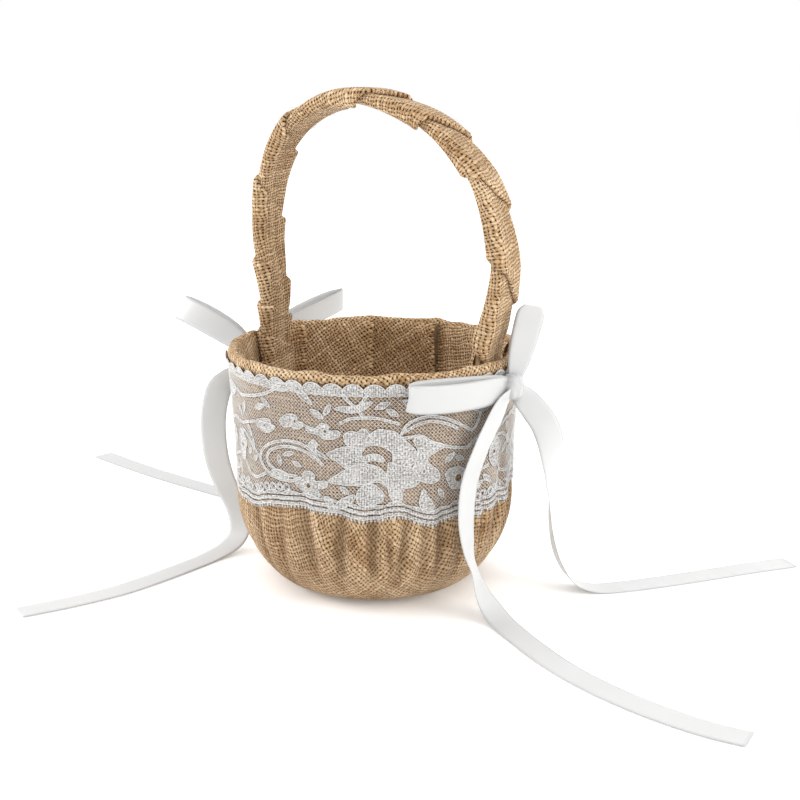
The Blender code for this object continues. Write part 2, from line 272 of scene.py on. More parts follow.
def smooth_route(points, steps):
    """A smooth curve through the points (Catmull-Rom), with steps intervals between each pair."""
    p = np.asarray(points, float)
    p = np.vstack([2 * p[0] - p[1], p, 2 * p[-1] - p[-2]])
    t = np.linspace(0, 1, steps, endpoint=False)[:, None]
    parts = []
    for k in range(1, len(p) - 2):
        a, b, c, d = p[k - 1], p[k], p[k + 1], p[k + 2]
        parts.append(
            b
            + 0.5 * (c - a) * t
            + (a - 2.5 * b + 2 * c - 0.5 * d) * t**2
            + 0.5 * (3 * b - a - 3 * c + d) * t**3
        )
    return np.vstack(parts + [p[-2:-1]])


def unit(vectors):
    """The same directions, each one long."""
    return vectors / np.maximum(np.linalg.norm(vectors, axis=-1, keepdims=True), 1e-9)


def run_length(points):
    """The distance along a route at each of its points."""
    return np.concatenate([[0], np.cumsum(np.linalg.norm(np.diff(points, axis=0), axis=1))])


def waves(angle, count, seed, low=2):
    """A smooth random ring curve: sines of whole numbers of turns, about -1 to 1."""
    draw = np.random.default_rng(seed)
    total = np.zeros_like(angle)
    for k in range(low, low + count):
        total = total + draw.normal() * np.sin(k * angle + draw.uniform(0, math.tau))
    return total / math.sqrt(count)


print("helpers ready")

# %% [markdown]
# ## The ribbon tails
#
# A tail is a flat satin ribbon 12 mm wide. It leaves the knot, hangs, touches the floor and
# runs out over it in a slack curve. The route is a list of points with the heading of the
# ribbon's width at each, because a ribbon turns about its own line as it falls. The strip has
# two faces and thin edges, so it catches light as real cloth does.

# %% Tail routes (the same points as in the CAD, in millimetres and degrees)
RIBBON_WIDTH = 12.0
RIBBON_THICKNESS = 0.45
TAIL_STEPS = 7
LOWEST_RIBBON = 0.35
KNOT_X, KNOT_Z = 69.5, 97.0
TAIL_ROUTES = {
    "ribbon_tail_right_front": [
        (69.2, -7, 91.5, 92), (68.4, -14.5, 85, 86), (66.4, -21, 75, 84), (63.8, -26.2, 61, 82),
        (63.2, -28, 46, 86), (63.4, -26, 33, 96), (64.2, -23, 22, 110), (67.6, -21.6, 11, 94),
        (76, -23.6, 2.6, 66), (88, -31, 0.6, 56), (106, -43, 0.5, 58), (122, -52, 0.5, 64),
        (139, -59, 0.5, 71), (157, -64.4, 0.5, 76), (174, -67.6, 0.5, 82), (187, -68.6, 0.5, 88),
        (200, -68, 0.5, 93),
    ],
    "ribbon_tail_right_side": [
        (72.6, 2.4, 92.4, 30), (77, 3.4, 88, 30), (82.4, 4.8, 80.6, 34), (84.4, 7.6, 71, 56),
        (82.4, 12.6, 60, 92), (79, 18, 50, 112), (77.6, 22, 38, 120), (77.6, 24.4, 26, 126),
        (80.4, 25.4, 14, 132), (87, 26.4, 4.6, 136), (96, 31, 0.8, 138), (106, 40, 0.5, 138),
        (118, 54, 0.5, 140), (132, 72, 0.5, 142), (146, 91, 0.5, 143), (161, 110, 0.5, 142),
    ],
    "ribbon_tail_left_front": [
        (-69, -5.6, 90.4, 86), (-74, -9.4, 86.6, 66), (-79.4, -13, 79, 46), (-80.6, -16.4, 67, 34),
        (-79.4, -18, 54, 28), (-78.2, -16.6, 42, 24), (-76.6, -12.8, 30, 20), (-74, -9, 19, 14),
        (-72.6, -9.2, 10, 6), (-73, -15.6, 3.2, -2), (-75, -30, 0.6, -5), (-76.6, -46, 0.5, -6),
        (-79, -64, 0.5, -9), (-83, -83, 0.5, -14), (-91.4, -104, 0.5, -21), (-102, -124, 0.5, -26),
    ],
    "ribbon_tail_left_back": [
        (-71.8, 4.6, 90.4, 86), (-76, 8.6, 86, 72), (-81, 14, 77, 58), (-83.6, 19.6, 64, 50),
        (-85, 25, 50, 48), (-88, 31, 34, 54), (-93.6, 38, 18, 66), (-103, 44.6, 6, 76),
        (-116, 49, 1, 80), (-132, 51, 0.5, 84), (-149, 53, 0.5, 84), (-171, 56, 0.5, 82),
        (-193, 59.6, 0.5, 80), (-216, 64.4, 0.5, 78), (-239, 70, 0.5, 77),
    ],
}


# %% One ribbon strip, with two faces and thin edges
RIBBON_COLUMNS = 9
EDGE_THINNING = 6  # the strip stays thick almost to its edges
THINNEST = 0.12


def ribbon_strip(name, middle, across, widths, cup, satin_shade):
    """A strip along the middle line. across is the width's direction, widths its size, cup how
    far the middle stands out of the edges, and satin_shade the painted shade that makes the satin
    greyer, all at every point of the line."""
    along = unit(np.gradient(middle, axis=0))
    side = unit(across - along * np.sum(across * along, axis=1, keepdims=True))
    up = unit(np.cross(along, side))
    share = np.linspace(-1, 1, RIBBON_COLUMNS)
    edge_thin = np.sqrt(np.clip(1.0 - share**EDGE_THINNING, THINNEST, 1))
    place = np.concatenate([share, share[::-1]])
    lift = np.concatenate([edge_thin, -edge_thin[::-1]]) * RIBBON_THICKNESS / 2
    arch = 1 - place**2
    points = (
        middle[:, None, :]
        + side[:, None, :] * (place[None, :, None] * widths[:, None, None] / 2)
        + up[:, None, :] * (lift[None, :, None] + arch[None, :, None] * cup[:, None, None])
    )
    reach = np.repeat(run_length(middle)[:, None], 2 * RIBBON_COLUMNS + 1, 1)
    girth = np.concatenate([place, [place[0] + 0.001]]) * RIBBON_WIDTH / 2
    uv = np.stack([reach, np.repeat(girth[None, :], len(middle), 0)], -1)
    fold = np.repeat(np.asarray(satin_shade)[:, None], points.shape[1], 1).ravel()
    return cloth_grid(name, points, uv, ring=True, caps=True, fold=fold)


# %% The four tails
LYING_PAINTED_SHADE = {  # painted shade: where satin lies flat on the floor, its colour is painted greyer
    "ribbon_tail_right_front": 0.42,
    "ribbon_tail_right_side": 0.0,
    "ribbon_tail_left_front": 0.50,
    "ribbon_tail_left_back": 1.0,
}
LYING_HEIGHT = 5.0
INSIDE_KNOT = (0.4, 0.35, -2.6)  # the hidden start: outwards, share of the first y, and down
KNOT_GRIP, GRIP_REACH = 0.42, 5.0  # share of the width the knot takes, and how far that lasts
TAIL_CUP, CUP_MIDDLE, CUP_REACH = 0.5, 18, 22.0  # the tail is a little hollow where it bends
tails = {}
for name, rows in TAIL_ROUTES.items():
    first = np.array(rows[0], float)
    out, inward, down = INSIDE_KNOT
    start = [math.copysign(KNOT_X + out, first[0]), first[1] * inward, KNOT_Z + down, first[3]]
    route = smooth_route([start] + list(rows), TAIL_STEPS)
    heading = np.radians(route[:, 3])
    width_way = np.stack([np.cos(heading), np.sin(heading), np.zeros_like(heading)], -1)
    middle = route[:, :3]
    middle[:, 2] = np.maximum(middle[:, 2], LOWEST_RIBBON)
    reach = run_length(middle)
    width = RIBBON_WIDTH * (1 - KNOT_GRIP * np.exp(-reach / GRIP_REACH))
    cup = TAIL_CUP * bell(reach - CUP_MIDDLE, CUP_REACH)
    # painted shade on the satin near the floor
    satin_shade = LYING_PAINTED_SHADE[name] * bell(middle[:, 2], LYING_HEIGHT)
    tail = ribbon_strip(name + "_satin", middle, width_way, width, cup, satin_shade)
    settle(tail, name)
    tails[name] = tail
    print(name, "length mm", round(float(reach[-1]), 1), "faces", len(tail.data.polygons))

# %% [markdown]
# ## The bows: loops and knots
#
# A bow's loop is the same ribbon, folded back on itself: out from the knot, round the tip and
# back in. The two runs part a little in the middle, which shows the inside of the loop, and
# the ribbon is pinched where the knot grips it. A loop is a folded sheet: its flat size is the
# ribbon's width times the length of its line.
#
# The knot is a short band pulled tight round the crossing. It is a rounded block with soft
# pleats that run along the pull, and a groove where the band's edge lies over itself.

# %% Loops
LOOP_POINTS = 44
LOOP_START, LOOP_END = 0.028, 0.972
LOOPS = {
    # middle and tip from the knot, way of the width,
    # side it opens to, parting, pinch and its reach
    "bow_loop_right_front": (
        (-3.6, -27, 1.4), (-19.6, -52, 3), (0.06, 0, 1),
        (0.86, -0.4, -0.36), 2.4, 0.25, 5,
    ),
    "bow_loop_right_up": (
        (1.6, 3.2, 16), (4.4, 8, 33.5), (0.84, 0.53, -0.16),
        (0.50, -0.82, 0.20), 3.2, 0.60, 9,
    ),
    "bow_loop_left_front": (
        (-22, -1, 12), (-45, 2, 16), (0.5, 0.3, 0.8),
        (0.2, 0.9, -0.3), 3.6, 0.40, 5,
    ),
    "bow_loop_left_back": (
        (-3, 32, 8), (11, 60, 16.5), (0.2, -0.3, 0.9),
        (0.9, 0.3, 0), 3.6, 0.40, 5,
    ),
}
TIP_NARROWING = {"bow_loop_right_up": 0.38}  # its tip is blown round, the others are creased
CREASED_TIP, TIP_REACH = 0.05, 3.0
LOOP_CUP, LOOP_CUP_REACH = 0.5, 7.0
# painted shade: two bow loops are painted greyer
LOOP_PAINTED_SHADE = {"bow_loop_left_front": 0.55, "bow_loop_right_front": 0.2}
loops = {}
for name, (mid, tip, width_way, opening, parting, pinched, pinch_reach) in LOOPS.items():
    side = 1 if "right" in name else -1
    knot = np.array([side * KNOT_X, 0, KNOT_Z])
    t = np.linspace(LOOP_START, LOOP_END, LOOP_POINTS)
    share = np.sin(math.pi * t)[:, None]
    line = 2 * (1 - share) * share * np.array(mid) + share**2 * np.array(tip)
    line = line + unit(np.array(opening, float)) * parting * np.sin(math.tau * t)[:, None] + knot
    reach = run_length(line)
    from_knot = np.minimum(reach, reach[-1] - reach)
    pinch = 1 - pinched * np.exp(-from_knot / pinch_reach)
    tip_hill = bell(np.abs(reach - reach[-1] / 2), TIP_REACH)
    pinch = pinch * (1 - TIP_NARROWING.get(name, CREASED_TIP) * tip_hill)
    ways = np.repeat(unit(np.array(width_way, float))[None, :], LOOP_POINTS, 0)
    cup = LOOP_CUP * np.exp(-from_knot / LOOP_CUP_REACH)
    satin_shade = np.full(LOOP_POINTS, LOOP_PAINTED_SHADE.get(name, 0.0))
    loop = ribbon_strip(name + "_satin", line, ways, RIBBON_WIDTH * pinch, cup, satin_shade)
    settle(loop, name)
    loops[name] = loop
    print(name, "ribbon length mm", round(float(reach[-1]), 1))

# %% Knots
KNOT_SIZE = np.array([3.9, 4.9, 5.6])
KNOT_ROWS, KNOT_COLUMNS = 30, 56
KNOT_BLOCKINESS = 0.72
POLE_GAP = 0.02  # radians left open at each pole, where the ribbons cover it
PLEAT_HEIGHT, PLEATS_ACROSS, PLEAT_TWIST = 0.055, 13, 0.8
GROOVES = [(0.14, 0.38, 0.07), (0.09, -0.45, 0.06)]  # depth, place across the pull, width
KNOT_GIRTH = math.tau * 5.5

knots = {}
for side, name in ((1, "bow_knot_right"), (-1, "bow_knot_left")):
    pole = math.pi / 2 - POLE_GAP
    tilt = np.linspace(-pole, pole, KNOT_ROWS)[:, None]
    turn = np.linspace(0, math.tau, KNOT_COLUMNS, endpoint=False)[None, :]
    level = blocky(np.cos(tilt), KNOT_BLOCKINESS)
    ball = np.stack(
        [
            level * blocky(np.cos(turn), KNOT_BLOCKINESS),
            level * blocky(np.sin(turn), KNOT_BLOCKINESS),
            blocky(np.sin(tilt), KNOT_BLOCKINESS) * np.ones_like(turn),
        ],
        -1,
    )
    slant = ball[..., 1] * 0.90 + ball[..., 2] * 0.35 + 0.12 * ball[..., 2] ** 2
    swell = 1 + PLEAT_HEIGHT * np.sin(slant * PLEATS_ACROSS + PLEAT_TWIST * ball[..., 2] + side)
    for groove_depth, groove_place, groove_width in GROOVES:
        swell = swell - groove_depth * bell(slant - groove_place * side, groove_width)
    points = ball * swell[..., None] * KNOT_SIZE + np.array([side * KNOT_X, 0, KNOT_Z])
    reach = np.repeat((tilt * KNOT_SIZE[2]), KNOT_COLUMNS + 1, 1)
    girth = np.repeat(np.linspace(0, KNOT_GIRTH, KNOT_COLUMNS + 1)[None, :], KNOT_ROWS, 0)
    piece = cloth_grid(name + "_satin", points, np.stack([reach, girth], -1), ring=True)
    settle(piece, name)
    knots[side] = piece
print("knots", [k.name for k in knots.values()])

# %% [markdown]
# ## The bucket's burlap cover
#
# The burlap below the lace is gathered under the base, so its threads run in straight lines
# under the bucket and cross the wall on the bias in front. The curve from the base to the
# wall is wide, and the spare cloth makes soft upright gathers. A gather is a narrow valley
# with a low ridge beside it, deepest half way up the curve, gone at the base and nearly gone
# under the lace. A ring of rows makes the shape, because the wall is round and the gathers
# only push it in or out.
#
# The upper part is straight cloth, seamed on under the lace's lower edge. That is why the map
# of the weave is in two parts.

# %% The wall's profile
BASE_RADIUS, CORNER_RADIUS, CORNER_HEIGHT = 36.0, 61.0, 45.0
COVER_BASE, RIM_HEIGHT, RIM_RADIUS = 1.1, 107.8, 64.9
WALL_START = COVER_BASE + CORNER_HEIGHT
WALL_LEAN = (RIM_RADIUS - CORNER_RADIUS) / (RIM_HEIGHT - WALL_START)
COVER_TOP, COVER_INNER = 103.8, 26.0


def wall_radius(z):
    """The cover's outer radius at a height: a quarter of an ellipse, then a leaning wall."""
    rise = np.clip((z - COVER_BASE) / CORNER_HEIGHT, 0, 1)
    bowl = BASE_RADIUS + (CORNER_RADIUS - BASE_RADIUS) * np.sqrt(1 - (1 - rise) ** 2)
    return np.where(z < WALL_START, bowl, CORNER_RADIUS + WALL_LEAN * (z - WALL_START))


# %% The gathers
GATHERS = [  # direction of the valley in degrees, depth, half width in degrees, height
    (-113, 0.8, 2.6, 34), (-99, 0.5, 2, 30), (-85, 1.1, 2.2, 38), (-71.6, 1.3, 2.6, 32),
    (-58.5, 1.4, 2, 38), (-52, 0.9, 1.5, 33), (-46.4, 1.2, 1.7, 31), (-37, 0.7, 1.8, 29),
    (-29.8, 1.1, 2, 31), (-17.9, 1.2, 2.2, 38), (-9.8, 0.8, 1.8, 42), (2.3, 1.2, 2.2, 40),
    (17, 0.8, 2.4, 34), (33, 1.2, 2.2, 30), (49, 0.7, 2, 36), (64, 1.2, 2.6, 34),
    (81, 0.9, 2.2, 40), (97, 1.2, 2, 30), (113, 0.7, 2.4, 36), (130, 1.3, 2.2, 33),
    (147, 0.8, 2, 38), (163, 1.1, 2.6, 30), (178, 0.9, 2.2, 36), (-166, 1.2, 2, 34),
    (-149, 0.8, 2.4, 32), (-131, 1.1, 2.2, 38),
]
GATHER_REACH_UP, GATHER_REACH_DOWN = 15.0, 17.0
GATHER_STRENGTH, RIDGE_SHARE = 3.0, 0.5
RIDGE_AWAY, RIDGE_WIDTH = 2.4, 1.7  # in half widths of the valley
STAND_OFF = 0.8  # the cloth hangs that far off the bucket at the curve
DEEPEST = -1.0  # the bucket is right behind the cloth


def gathers(degrees, z):
    """How far the cloth stands in or out of the plain wall, in millimetres."""
    total = np.zeros(np.broadcast(degrees, z).shape)
    for k, (where, depth, half_width, height) in enumerate(GATHERS):
        lean = 0.10 * math.sin(2.3 * k) * (z - height)
        away = (degrees - where - lean + 180) % 360 - 180
        reach = np.where(z > height, GATHER_REACH_UP, GATHER_REACH_DOWN)
        tall = bell(z - height, reach) * rising(z, 4, 9)
        valley = bell(away, half_width)
        ridge = bell(away - RIDGE_AWAY * half_width, RIDGE_WIDTH * half_width)
        total = total + GATHER_STRENGTH * tall * depth * (RIDGE_SHARE * ridge - valley)
    swell = 0.5 * waves(np.radians(degrees), 9, 5, 5) * rising(z, 6, 20)
    swell = swell * falling(z, 104, 26, 0.1)
    total = total + swell + STAND_OFF * rising(z, 8, 12) * falling(z, 66, 20)
    return np.where(total < 0, DEEPEST * np.tanh(total / DEEPEST), total)


# %% The cover's cloth
COVER_COLUMNS = 420
BASE_ROWS, BOWL_ROWS, WALL_ROWS = 5, 44, 34
SPLIT_HEIGHT = 49.0
BIAS_MIDDLE = -57.0
BIAS_STRETCH = 0.8
BIAS_ANGLE = 45
UNDER_LACE = 0.9  # the lace keeps light off the cloth behind it
LOWER_CLOTH_PAINTED_SHADE = 0.4  # painted shade on the cloth below the lace

sweep = np.linspace(0, math.pi / 2, BOWL_ROWS)
wall_z = np.linspace(WALL_START, COVER_TOP, WALL_ROWS)
bowl_r = BASE_RADIUS + (CORNER_RADIUS - BASE_RADIUS) * np.sin(sweep)
bowl_z = COVER_BASE + CORNER_HEIGHT * (1 - np.cos(sweep))
base_r = np.linspace(COVER_INNER, BASE_RADIUS, BASE_ROWS, endpoint=False)
base_z = np.full(BASE_ROWS, COVER_BASE - 0.1)
profile_r = np.concatenate([base_r, bowl_r, wall_radius(wall_z)[1:]])
profile_z = np.concatenate([base_z, bowl_z, wall_z[1:]])
profile_s = COVER_INNER + run_length(np.stack([profile_r, profile_z], -1))
z = profile_z[:, None]
angle = np.linspace(-180, 180, COVER_COLUMNS + 1)
in_or_out = gathers(angle[None, :-1], z)
points = round_points(profile_r[:, None] + in_or_out, np.radians(angle[:-1]), z)

away = np.radians(angle - BIAS_MIDDLE)[None, :]
flat_r = (BASE_RADIUS + BIAS_STRETCH * (profile_s - BASE_RADIUS))[:, None]
lower_uv = turned(flat_r * np.cos(away), flat_r * np.sin(away), BIAS_ANGLE)
upper_uv = np.stack(
    [np.radians(angle)[None, :] * CORNER_RADIUS + 0 * flat_r, profile_s[:, None] + 0 * away], -1
)
split = int(np.searchsorted(profile_z, SPLIT_HEIGHT))
# painted shade: the cover is darkened in the gathers' valleys, under the lace and below it
painted_fold_shade = np.clip((1.1 - in_or_out) / 2.1, 0, 1) * rising(z, 8, 14) * falling(z, 64, 14)
painted_fold_shade = np.maximum(painted_fold_shade, UNDER_LACE * rising(z, 48, 4) * falling(z, 102, 4))
painted_fold_shade = painted_fold_shade + LOWER_CLOTH_PAINTED_SHADE * falling(z, 50, 4)
cover = cloth_grid(
    "cover_burlap", points, lower_uv, ring=True, upper_uv=upper_uv, split=split, fold=painted_fold_shade
)
settle(cover, "outer_cover")
print("cover: rows", len(profile_r), "path from the middle mm", round(float(profile_s[-1]), 1))

# %% [markdown]
# ## The pleated lining
#
# Inside, burlap hangs from the rim in wide knife pleats. From one fold to the next the cloth
# slopes gently inwards, and at the fold it steps back under itself: a dark upright line with
# a rounded lip. Each pleat turns the weave a little, because the gathered cloth wasn't laid
# straight. The folds lean and wander with height.

# %% Lining
LINING_TOP, LINING_BOTTOM = 106.2, 7.3
TUCKED_EDGE = (0.86, 0.86, 1.0)  # the lower edge is turned in over the floor's disc
TUCK_LENGTH, TUCK_DROP = 7.0, 0.15
LINING_INSET = 3.8
PLEAT_DEPTH = 2.1
OVERLAP_DEGREES = 1.8  # the raised side of a fold reaches that far over the cloth beside it
CROWDING = 0.11  # columns crowd towards the folds by that share
PLEATS = [  # direction of the fold in degrees, turn of the weave in degrees, lean
    (-172, 20, 1.5), (-141, 4, -1), (-110, 31, 2), (-80, 12, -2), (-50, 36, 1), (-19, 8, 2),
    (12, 28, -1.5), (41, 5, 1), (70, 12, -2), (94.5, 34, 1.5), (124.8, 32, -1), (158.8, 6, 1.5),
]
LINING_ROWS, LINING_COLUMNS = 40, 900
FOOT_FLATTENING, FOOT_REACH = 0.85, 13.0  # the pleats are pressed flat behind the handle's feet
FOLD_SHADOW, SHADOW_REACH = 0.9, 0.02

count = len(PLEATS)
folds, turns, leans = np.array(PLEATS, float).T
spans = np.diff(np.append(folds, folds[0] + 360))
edges = np.concatenate([[0], np.cumsum(spans)])
share = np.linspace(0, 1, LINING_COLUMNS // count, endpoint=False)
crowded = share - CROWDING * np.sin(math.tau * share)
pleat_angles = [folds[0] + edges[k] + spans[k] * crowded for k in range(count)]
angle = np.concatenate(pleat_angles + [[folds[0] + 360]])
in_pleat = 1 - np.concatenate([np.tile(crowded, count), [0.0]])  # 1 at the fold's raised side
which = np.concatenate([np.repeat(np.arange(count), len(share)), [count - 1]])

# %% The lining's shape, row by row
z = np.linspace(LINING_BOTTOM, LINING_TOP, LINING_ROWS)[:, None]
up = (z - LINING_BOTTOM) / (LINING_TOP - LINING_BOTTOM)
wander = 1.2 * np.sin(up * 4 + which[None, :] * 1.7) + leans[which][None, :] * (up - 0.5)
after = np.clip(in_pleat / 0.07, 0, 1)[None, :]
step_back = (1 - np.sqrt(1 - (1 - after) ** 2)) * -1.0
slope = in_pleat[None, :] ** 1.4 + 0.30 * np.sin(math.pi * in_pleat)[None, :]
lip = bell(in_pleat - 0.97, 0.03)[None, :]
depth = PLEAT_DEPTH * (slope + 0.25 * lip) * (0.75 + 0.25 * up)
to_foot = np.minimum(np.abs((angle + 180) % 360 - 180), np.abs(angle % 360 - 180))
depth = depth * (1 - FOOT_FLATTENING * bell(to_foot, FOOT_REACH))[None, :]
depth = depth * falling(z, LINING_TOP, 3.0, 0.15)
softness = 0.35 * waves(np.radians(angle), 8, 11, 4)[None, :] * np.sin(math.pi * up)
radius = wall_radius(z) - LINING_INSET - depth + 0.4 * step_back + softness
overlap = OVERLAP_DEGREES * np.exp(-(1 - in_pleat) / 0.03)
points = round_points(radius, np.radians((angle - overlap)[None, :] + wander), z)
tucked = points[:1] * TUCKED_EDGE
tucked[..., 2] = LINING_BOTTOM - TUCK_DROP
points = np.concatenate([tucked, points])

# %% The lining's map and its shade
z = np.concatenate([z[:1] - TUCK_LENGTH, z])
flat_u = np.radians(angle)[None, :] * 60.0 + which[None, :] * 7.3 + 0 * z
uv = turned(flat_u, z + 0 * flat_u, turns[which][None, :] + 0 * z)
shadow = np.clip(FOLD_SHADOW * np.exp(-in_pleat / SHADOW_REACH), 0, 1)
shadow = np.repeat(shadow[None, :-1], len(points), 0)
lining = cloth_grid("lining_burlap", points[:, :-1], uv, ring=True, flip=True, fold=shadow)
settle(lining, "lining_wall")
print("lining faces", len(lining.data.polygons), "folds", count)

# %% [markdown]
# ## The rolled hem on the rim
#
# The cover's top edge is rolled inwards over the lining and stitched down. That leaves a soft
# roll 3 to 4 mm high above the lace. It is never quite even: it swells where the cloth is
# doubled, and it lifts a little over the lining's folds.

# %% Hem
HEM_MIDDLE_R, HEM_MIDDLE_Z = 63.1, 105.2
HEM_HALF_R, HEM_HALF_Z = 2.15, 2.5
HEM_COLUMNS, HEM_SIDES = 540, 20
HEM_BOX_R, HEM_BOX_Z = 0.75, 0.85  # below 1, the roll is boxier than an ellipse
HEM_LIFT, HEM_DIP = 0.7, 0.4  # over a fold of the lining, and beside it
HEM_WEAVE_TURN = 35

degrees = np.linspace(-180, 180, HEM_COLUMNS + 1)
turn = np.radians(degrees)
fat = 1 + 0.10 * waves(turn, 14, 3, 7) + 0.05 * waves(turn, 20, 4, 30)
high = 0.30 * waves(turn, 8, 7, 3)
for fold, _, _ in PLEATS:
    near = (degrees - fold + 180) % 360 - 180
    high = high + HEM_LIFT * bell(near, 3.6) - HEM_DIP * bell(near + 8, 5.0)
section = np.linspace(0, math.tau, HEM_SIDES + 1)[:, None]
ripple = 0.05 * np.sin(section * 3 + degrees[None, :] * 0.13)
side_share, up_share = blocky(np.cos(section), HEM_BOX_R), blocky(np.sin(section), HEM_BOX_Z)
r = HEM_MIDDLE_R + HEM_HALF_R * (0.92 + 0.08 * fat[None, :] + ripple) * side_share
z = HEM_MIDDLE_Z + high[None, :] * np.clip(up_share, 0, 1)
z = z + HEM_HALF_Z * (fat[None, :] + ripple) * up_share
points = round_points(r, turn, z)[:, :-1]
flat_v = section * 2.0 + 0 * turn
flat_u = turn[None, :] * HEM_MIDDLE_R + 0 * section
hem = cloth_grid("hem_burlap", points, turned(flat_u, flat_v, HEM_WEAVE_TURN), ring=True)
settle(hem, "rim_hem")
print("hem height mm", round(float(z.min()), 1), "to", round(float(z.max()), 1))

# %% [markdown]
# ## The handle's wrapping
#
# The handle is a flat strip bent into an arch, and a burlap strip is bandaged round it from
# the left foot to the right foot. The strip's edge is folded under, so every turn ends in a
# rounded lip that lies on top of the next turn: that makes the slanting steps across the
# handle. `turn_edge` says how far along the handle the lip is after so many turns, and the
# turns are uneven, as they are when cloth is wound by hand.

# %% The handle's line and section
HANDLE_ROUTE = [  # x and z
    (-51.9, 62), (-53.4, 80), (-54.9, 98), (-55.6, 110), (-55.4, 122), (-56.6, 136),
    (-58.4, 150), (-57.4, 165), (-54.6, 180), (-48, 194), (-37, 205.5), (-21, 213.2),
    (-3, 214.8), (14, 211.2), (30, 204.6), (43.5, 194.5), (54, 182), (60.8, 166), (64.2, 150),
    (63.4, 137), (60.4, 123), (56, 110), (54.9, 98), (53.4, 80), (51.9, 62),
]
CORE_HALF_Y, CORE_HALF_N, CORE_ROUND = 8.2, 2.35, 1.9
TURN_EDGES = [-12, 20, 45.5, 58, 79, 113, 145, 187, 219, 251, 288, 328, 356, 392]
STEPS_PER_TURN = 72
CLOTH_GIRTH = 1.2  # the strip is that much longer than the bare core's girth
LIFT_LOW, LIFT_HIGH = 0.1, 2.25
LIP = [(0.9, 0.70), (0.75, 0.28), (0.1, 0.04)]  # how far the lip's round edge runs on, and its height

line = smooth_route([(x, 0, z) for x, z in HANDLE_ROUTE], 16)
line_reach = run_length(line)
HANDLE_LENGTH = float(line_reach[-1])
tangent = unit(np.gradient(line, axis=0))
outward = np.stack([-tangent[:, 2], 0 * tangent[:, 0], tangent[:, 0]], -1)


def section_place(share, extra):
    """Where a point lies on the section: share of the girth from the inner face by way of the
    front, extra out of the core's surface. Gives Y, the outward offset and the girth. The
    second half of the girth is the first one turned by half a turn."""
    half_y, half_n = CORE_HALF_Y - CORE_ROUND, CORE_HALF_N - CORE_ROUND
    quarter = math.pi / 2 * CORE_ROUND
    marks = np.cumsum([half_y, quarter, 2 * half_n, quarter, half_y])
    half = marks[-1]
    d = (share % 1.0) * 2 * half
    sign = np.where(d < half, 1.0, -1.0)
    d = d % half
    grown = CORE_ROUND + extra
    low_turn = (d - marks[0]) / CORE_ROUND
    high_turn = (d - marks[2]) / CORE_ROUND
    stretches = [d < mark for mark in marks[:4]]
    y = np.select(
        stretches,
        [-d, -half_y - grown * np.sin(low_turn), -half_y - grown, -half_y - grown * np.cos(high_turn)],
        d - marks[3] - half_y,
    )
    n = np.select(
        stretches,
        [-half_n - grown, -half_n - grown * np.cos(low_turn), d - marks[1] - half_n,
         half_n + grown * np.sin(high_turn)],
        half_n + grown,
    )
    return sign * y, sign * n, 2 * half


# %% The wound strip
FIRST_TURN = 0.75  # the first lip is that share of a turn before the foot
LIP_WANDER = [(0.7, 9.1, 0), (0.5, 23.7, 1)]  # how far, how often and from where
WRINKLE, WRINKLES_PER_TURN = 0.10, 31
WEAVE_TURN = 9

turns = np.arange(len(TURN_EDGES)) - FIRST_TURN
turn_steps = np.arange(0.0, turns[-1] - 1.0, 1 / STEPS_PER_TURN)
turn_curve = smooth_route(np.stack([turns, TURN_EDGES], -1), 24)


def turn_edge(t):
    """How far along the handle the lip is after t turns. It wanders by about a millimetre."""
    edge = np.interp(t, turn_curve[:, 0], turn_curve[:, 1])
    for far, often, start in LIP_WANDER:
        edge = edge + far * np.sin(t * often + start)
    return edge


across = np.concatenate([[-3, -2, -1], np.linspace(0, 1, 15) ** 1.25])  # negative: the lip
edge_high = turn_edge(turn_steps)
edge_low = turn_edge(turn_steps - 1.0)
lift_range = LIFT_HIGH - LIFT_LOW
s_rows, lift_rows = [], []
for w in across:
    if w < 0:
        run_on, height = LIP[int(-w) - 1]
        s_rows.append(edge_high + run_on)
        lift_rows.append(LIFT_LOW + lift_range * height + 0 * edge_high)
    else:
        s_rows.append(edge_high + (edge_low - edge_high) * w)
        wrinkle = WRINKLE * np.sin(turn_steps * WRINKLES_PER_TURN + 5 * w)
        wrinkle = wrinkle * math.sin(math.pi * min(w * 1.2, 1))
        lift_rows.append(LIFT_LOW + lift_range * (1 - w) ** 0.85 + wrinkle)
s = np.clip(np.stack(s_rows), 0, HANDLE_LENGTH)
share = np.repeat((turn_steps % 1.0)[None, :], len(across), 0)
y, n, girth = section_place(share, np.stack(lift_rows))
middle = np.stack([np.interp(s, line_reach, line[:, k]) for k in range(3)], -1)
out = unit(np.stack([np.interp(s, line_reach, outward[:, k]) for k in range(3)], -1))
points = middle + out * n[..., None]
points[..., 1] = points[..., 1] + y
flat_u = np.repeat((turn_steps * girth * CLOTH_GIRTH)[None, :], len(across), 0)
wrap = cloth_grid("handle_wrap_burlap", points, turned(flat_u, s, WEAVE_TURN))
print("strip turns", round(float(turn_steps[-1]), 1), "girth mm", round(girth, 1))

# %% Clear away the flattened ends of the strip
LEAST_FACE = 0.02 * MM * MM
work = bmesh.new()
work.from_mesh(wrap.data)
thin = [f for f in work.faces if f.calc_area() < LEAST_FACE]
bmesh.ops.delete(work, geom=thin, context="FACES")
work.to_mesh(wrap.data)
work.free()
settle(wrap, "handle_wrap")
print("strip faces kept", len(wrap.data.polygons))

# %% [markdown]
# ## The lace: a flat drawing first
#
# Lace is drawn flat and then bent round the wall, as the real band was. The drawing is one
# repeat, 134 mm long, and three repeats go round. Dense parts (petals, leaves, the scalloped
# top, the border) are closed outlines. For every point of a fine grid the script works out
# how far it is inside the nearest outline, and the zero line of that distance is the cloth's
# edge. Thin cords follow each outline, and a fine diamond net fills what is left.

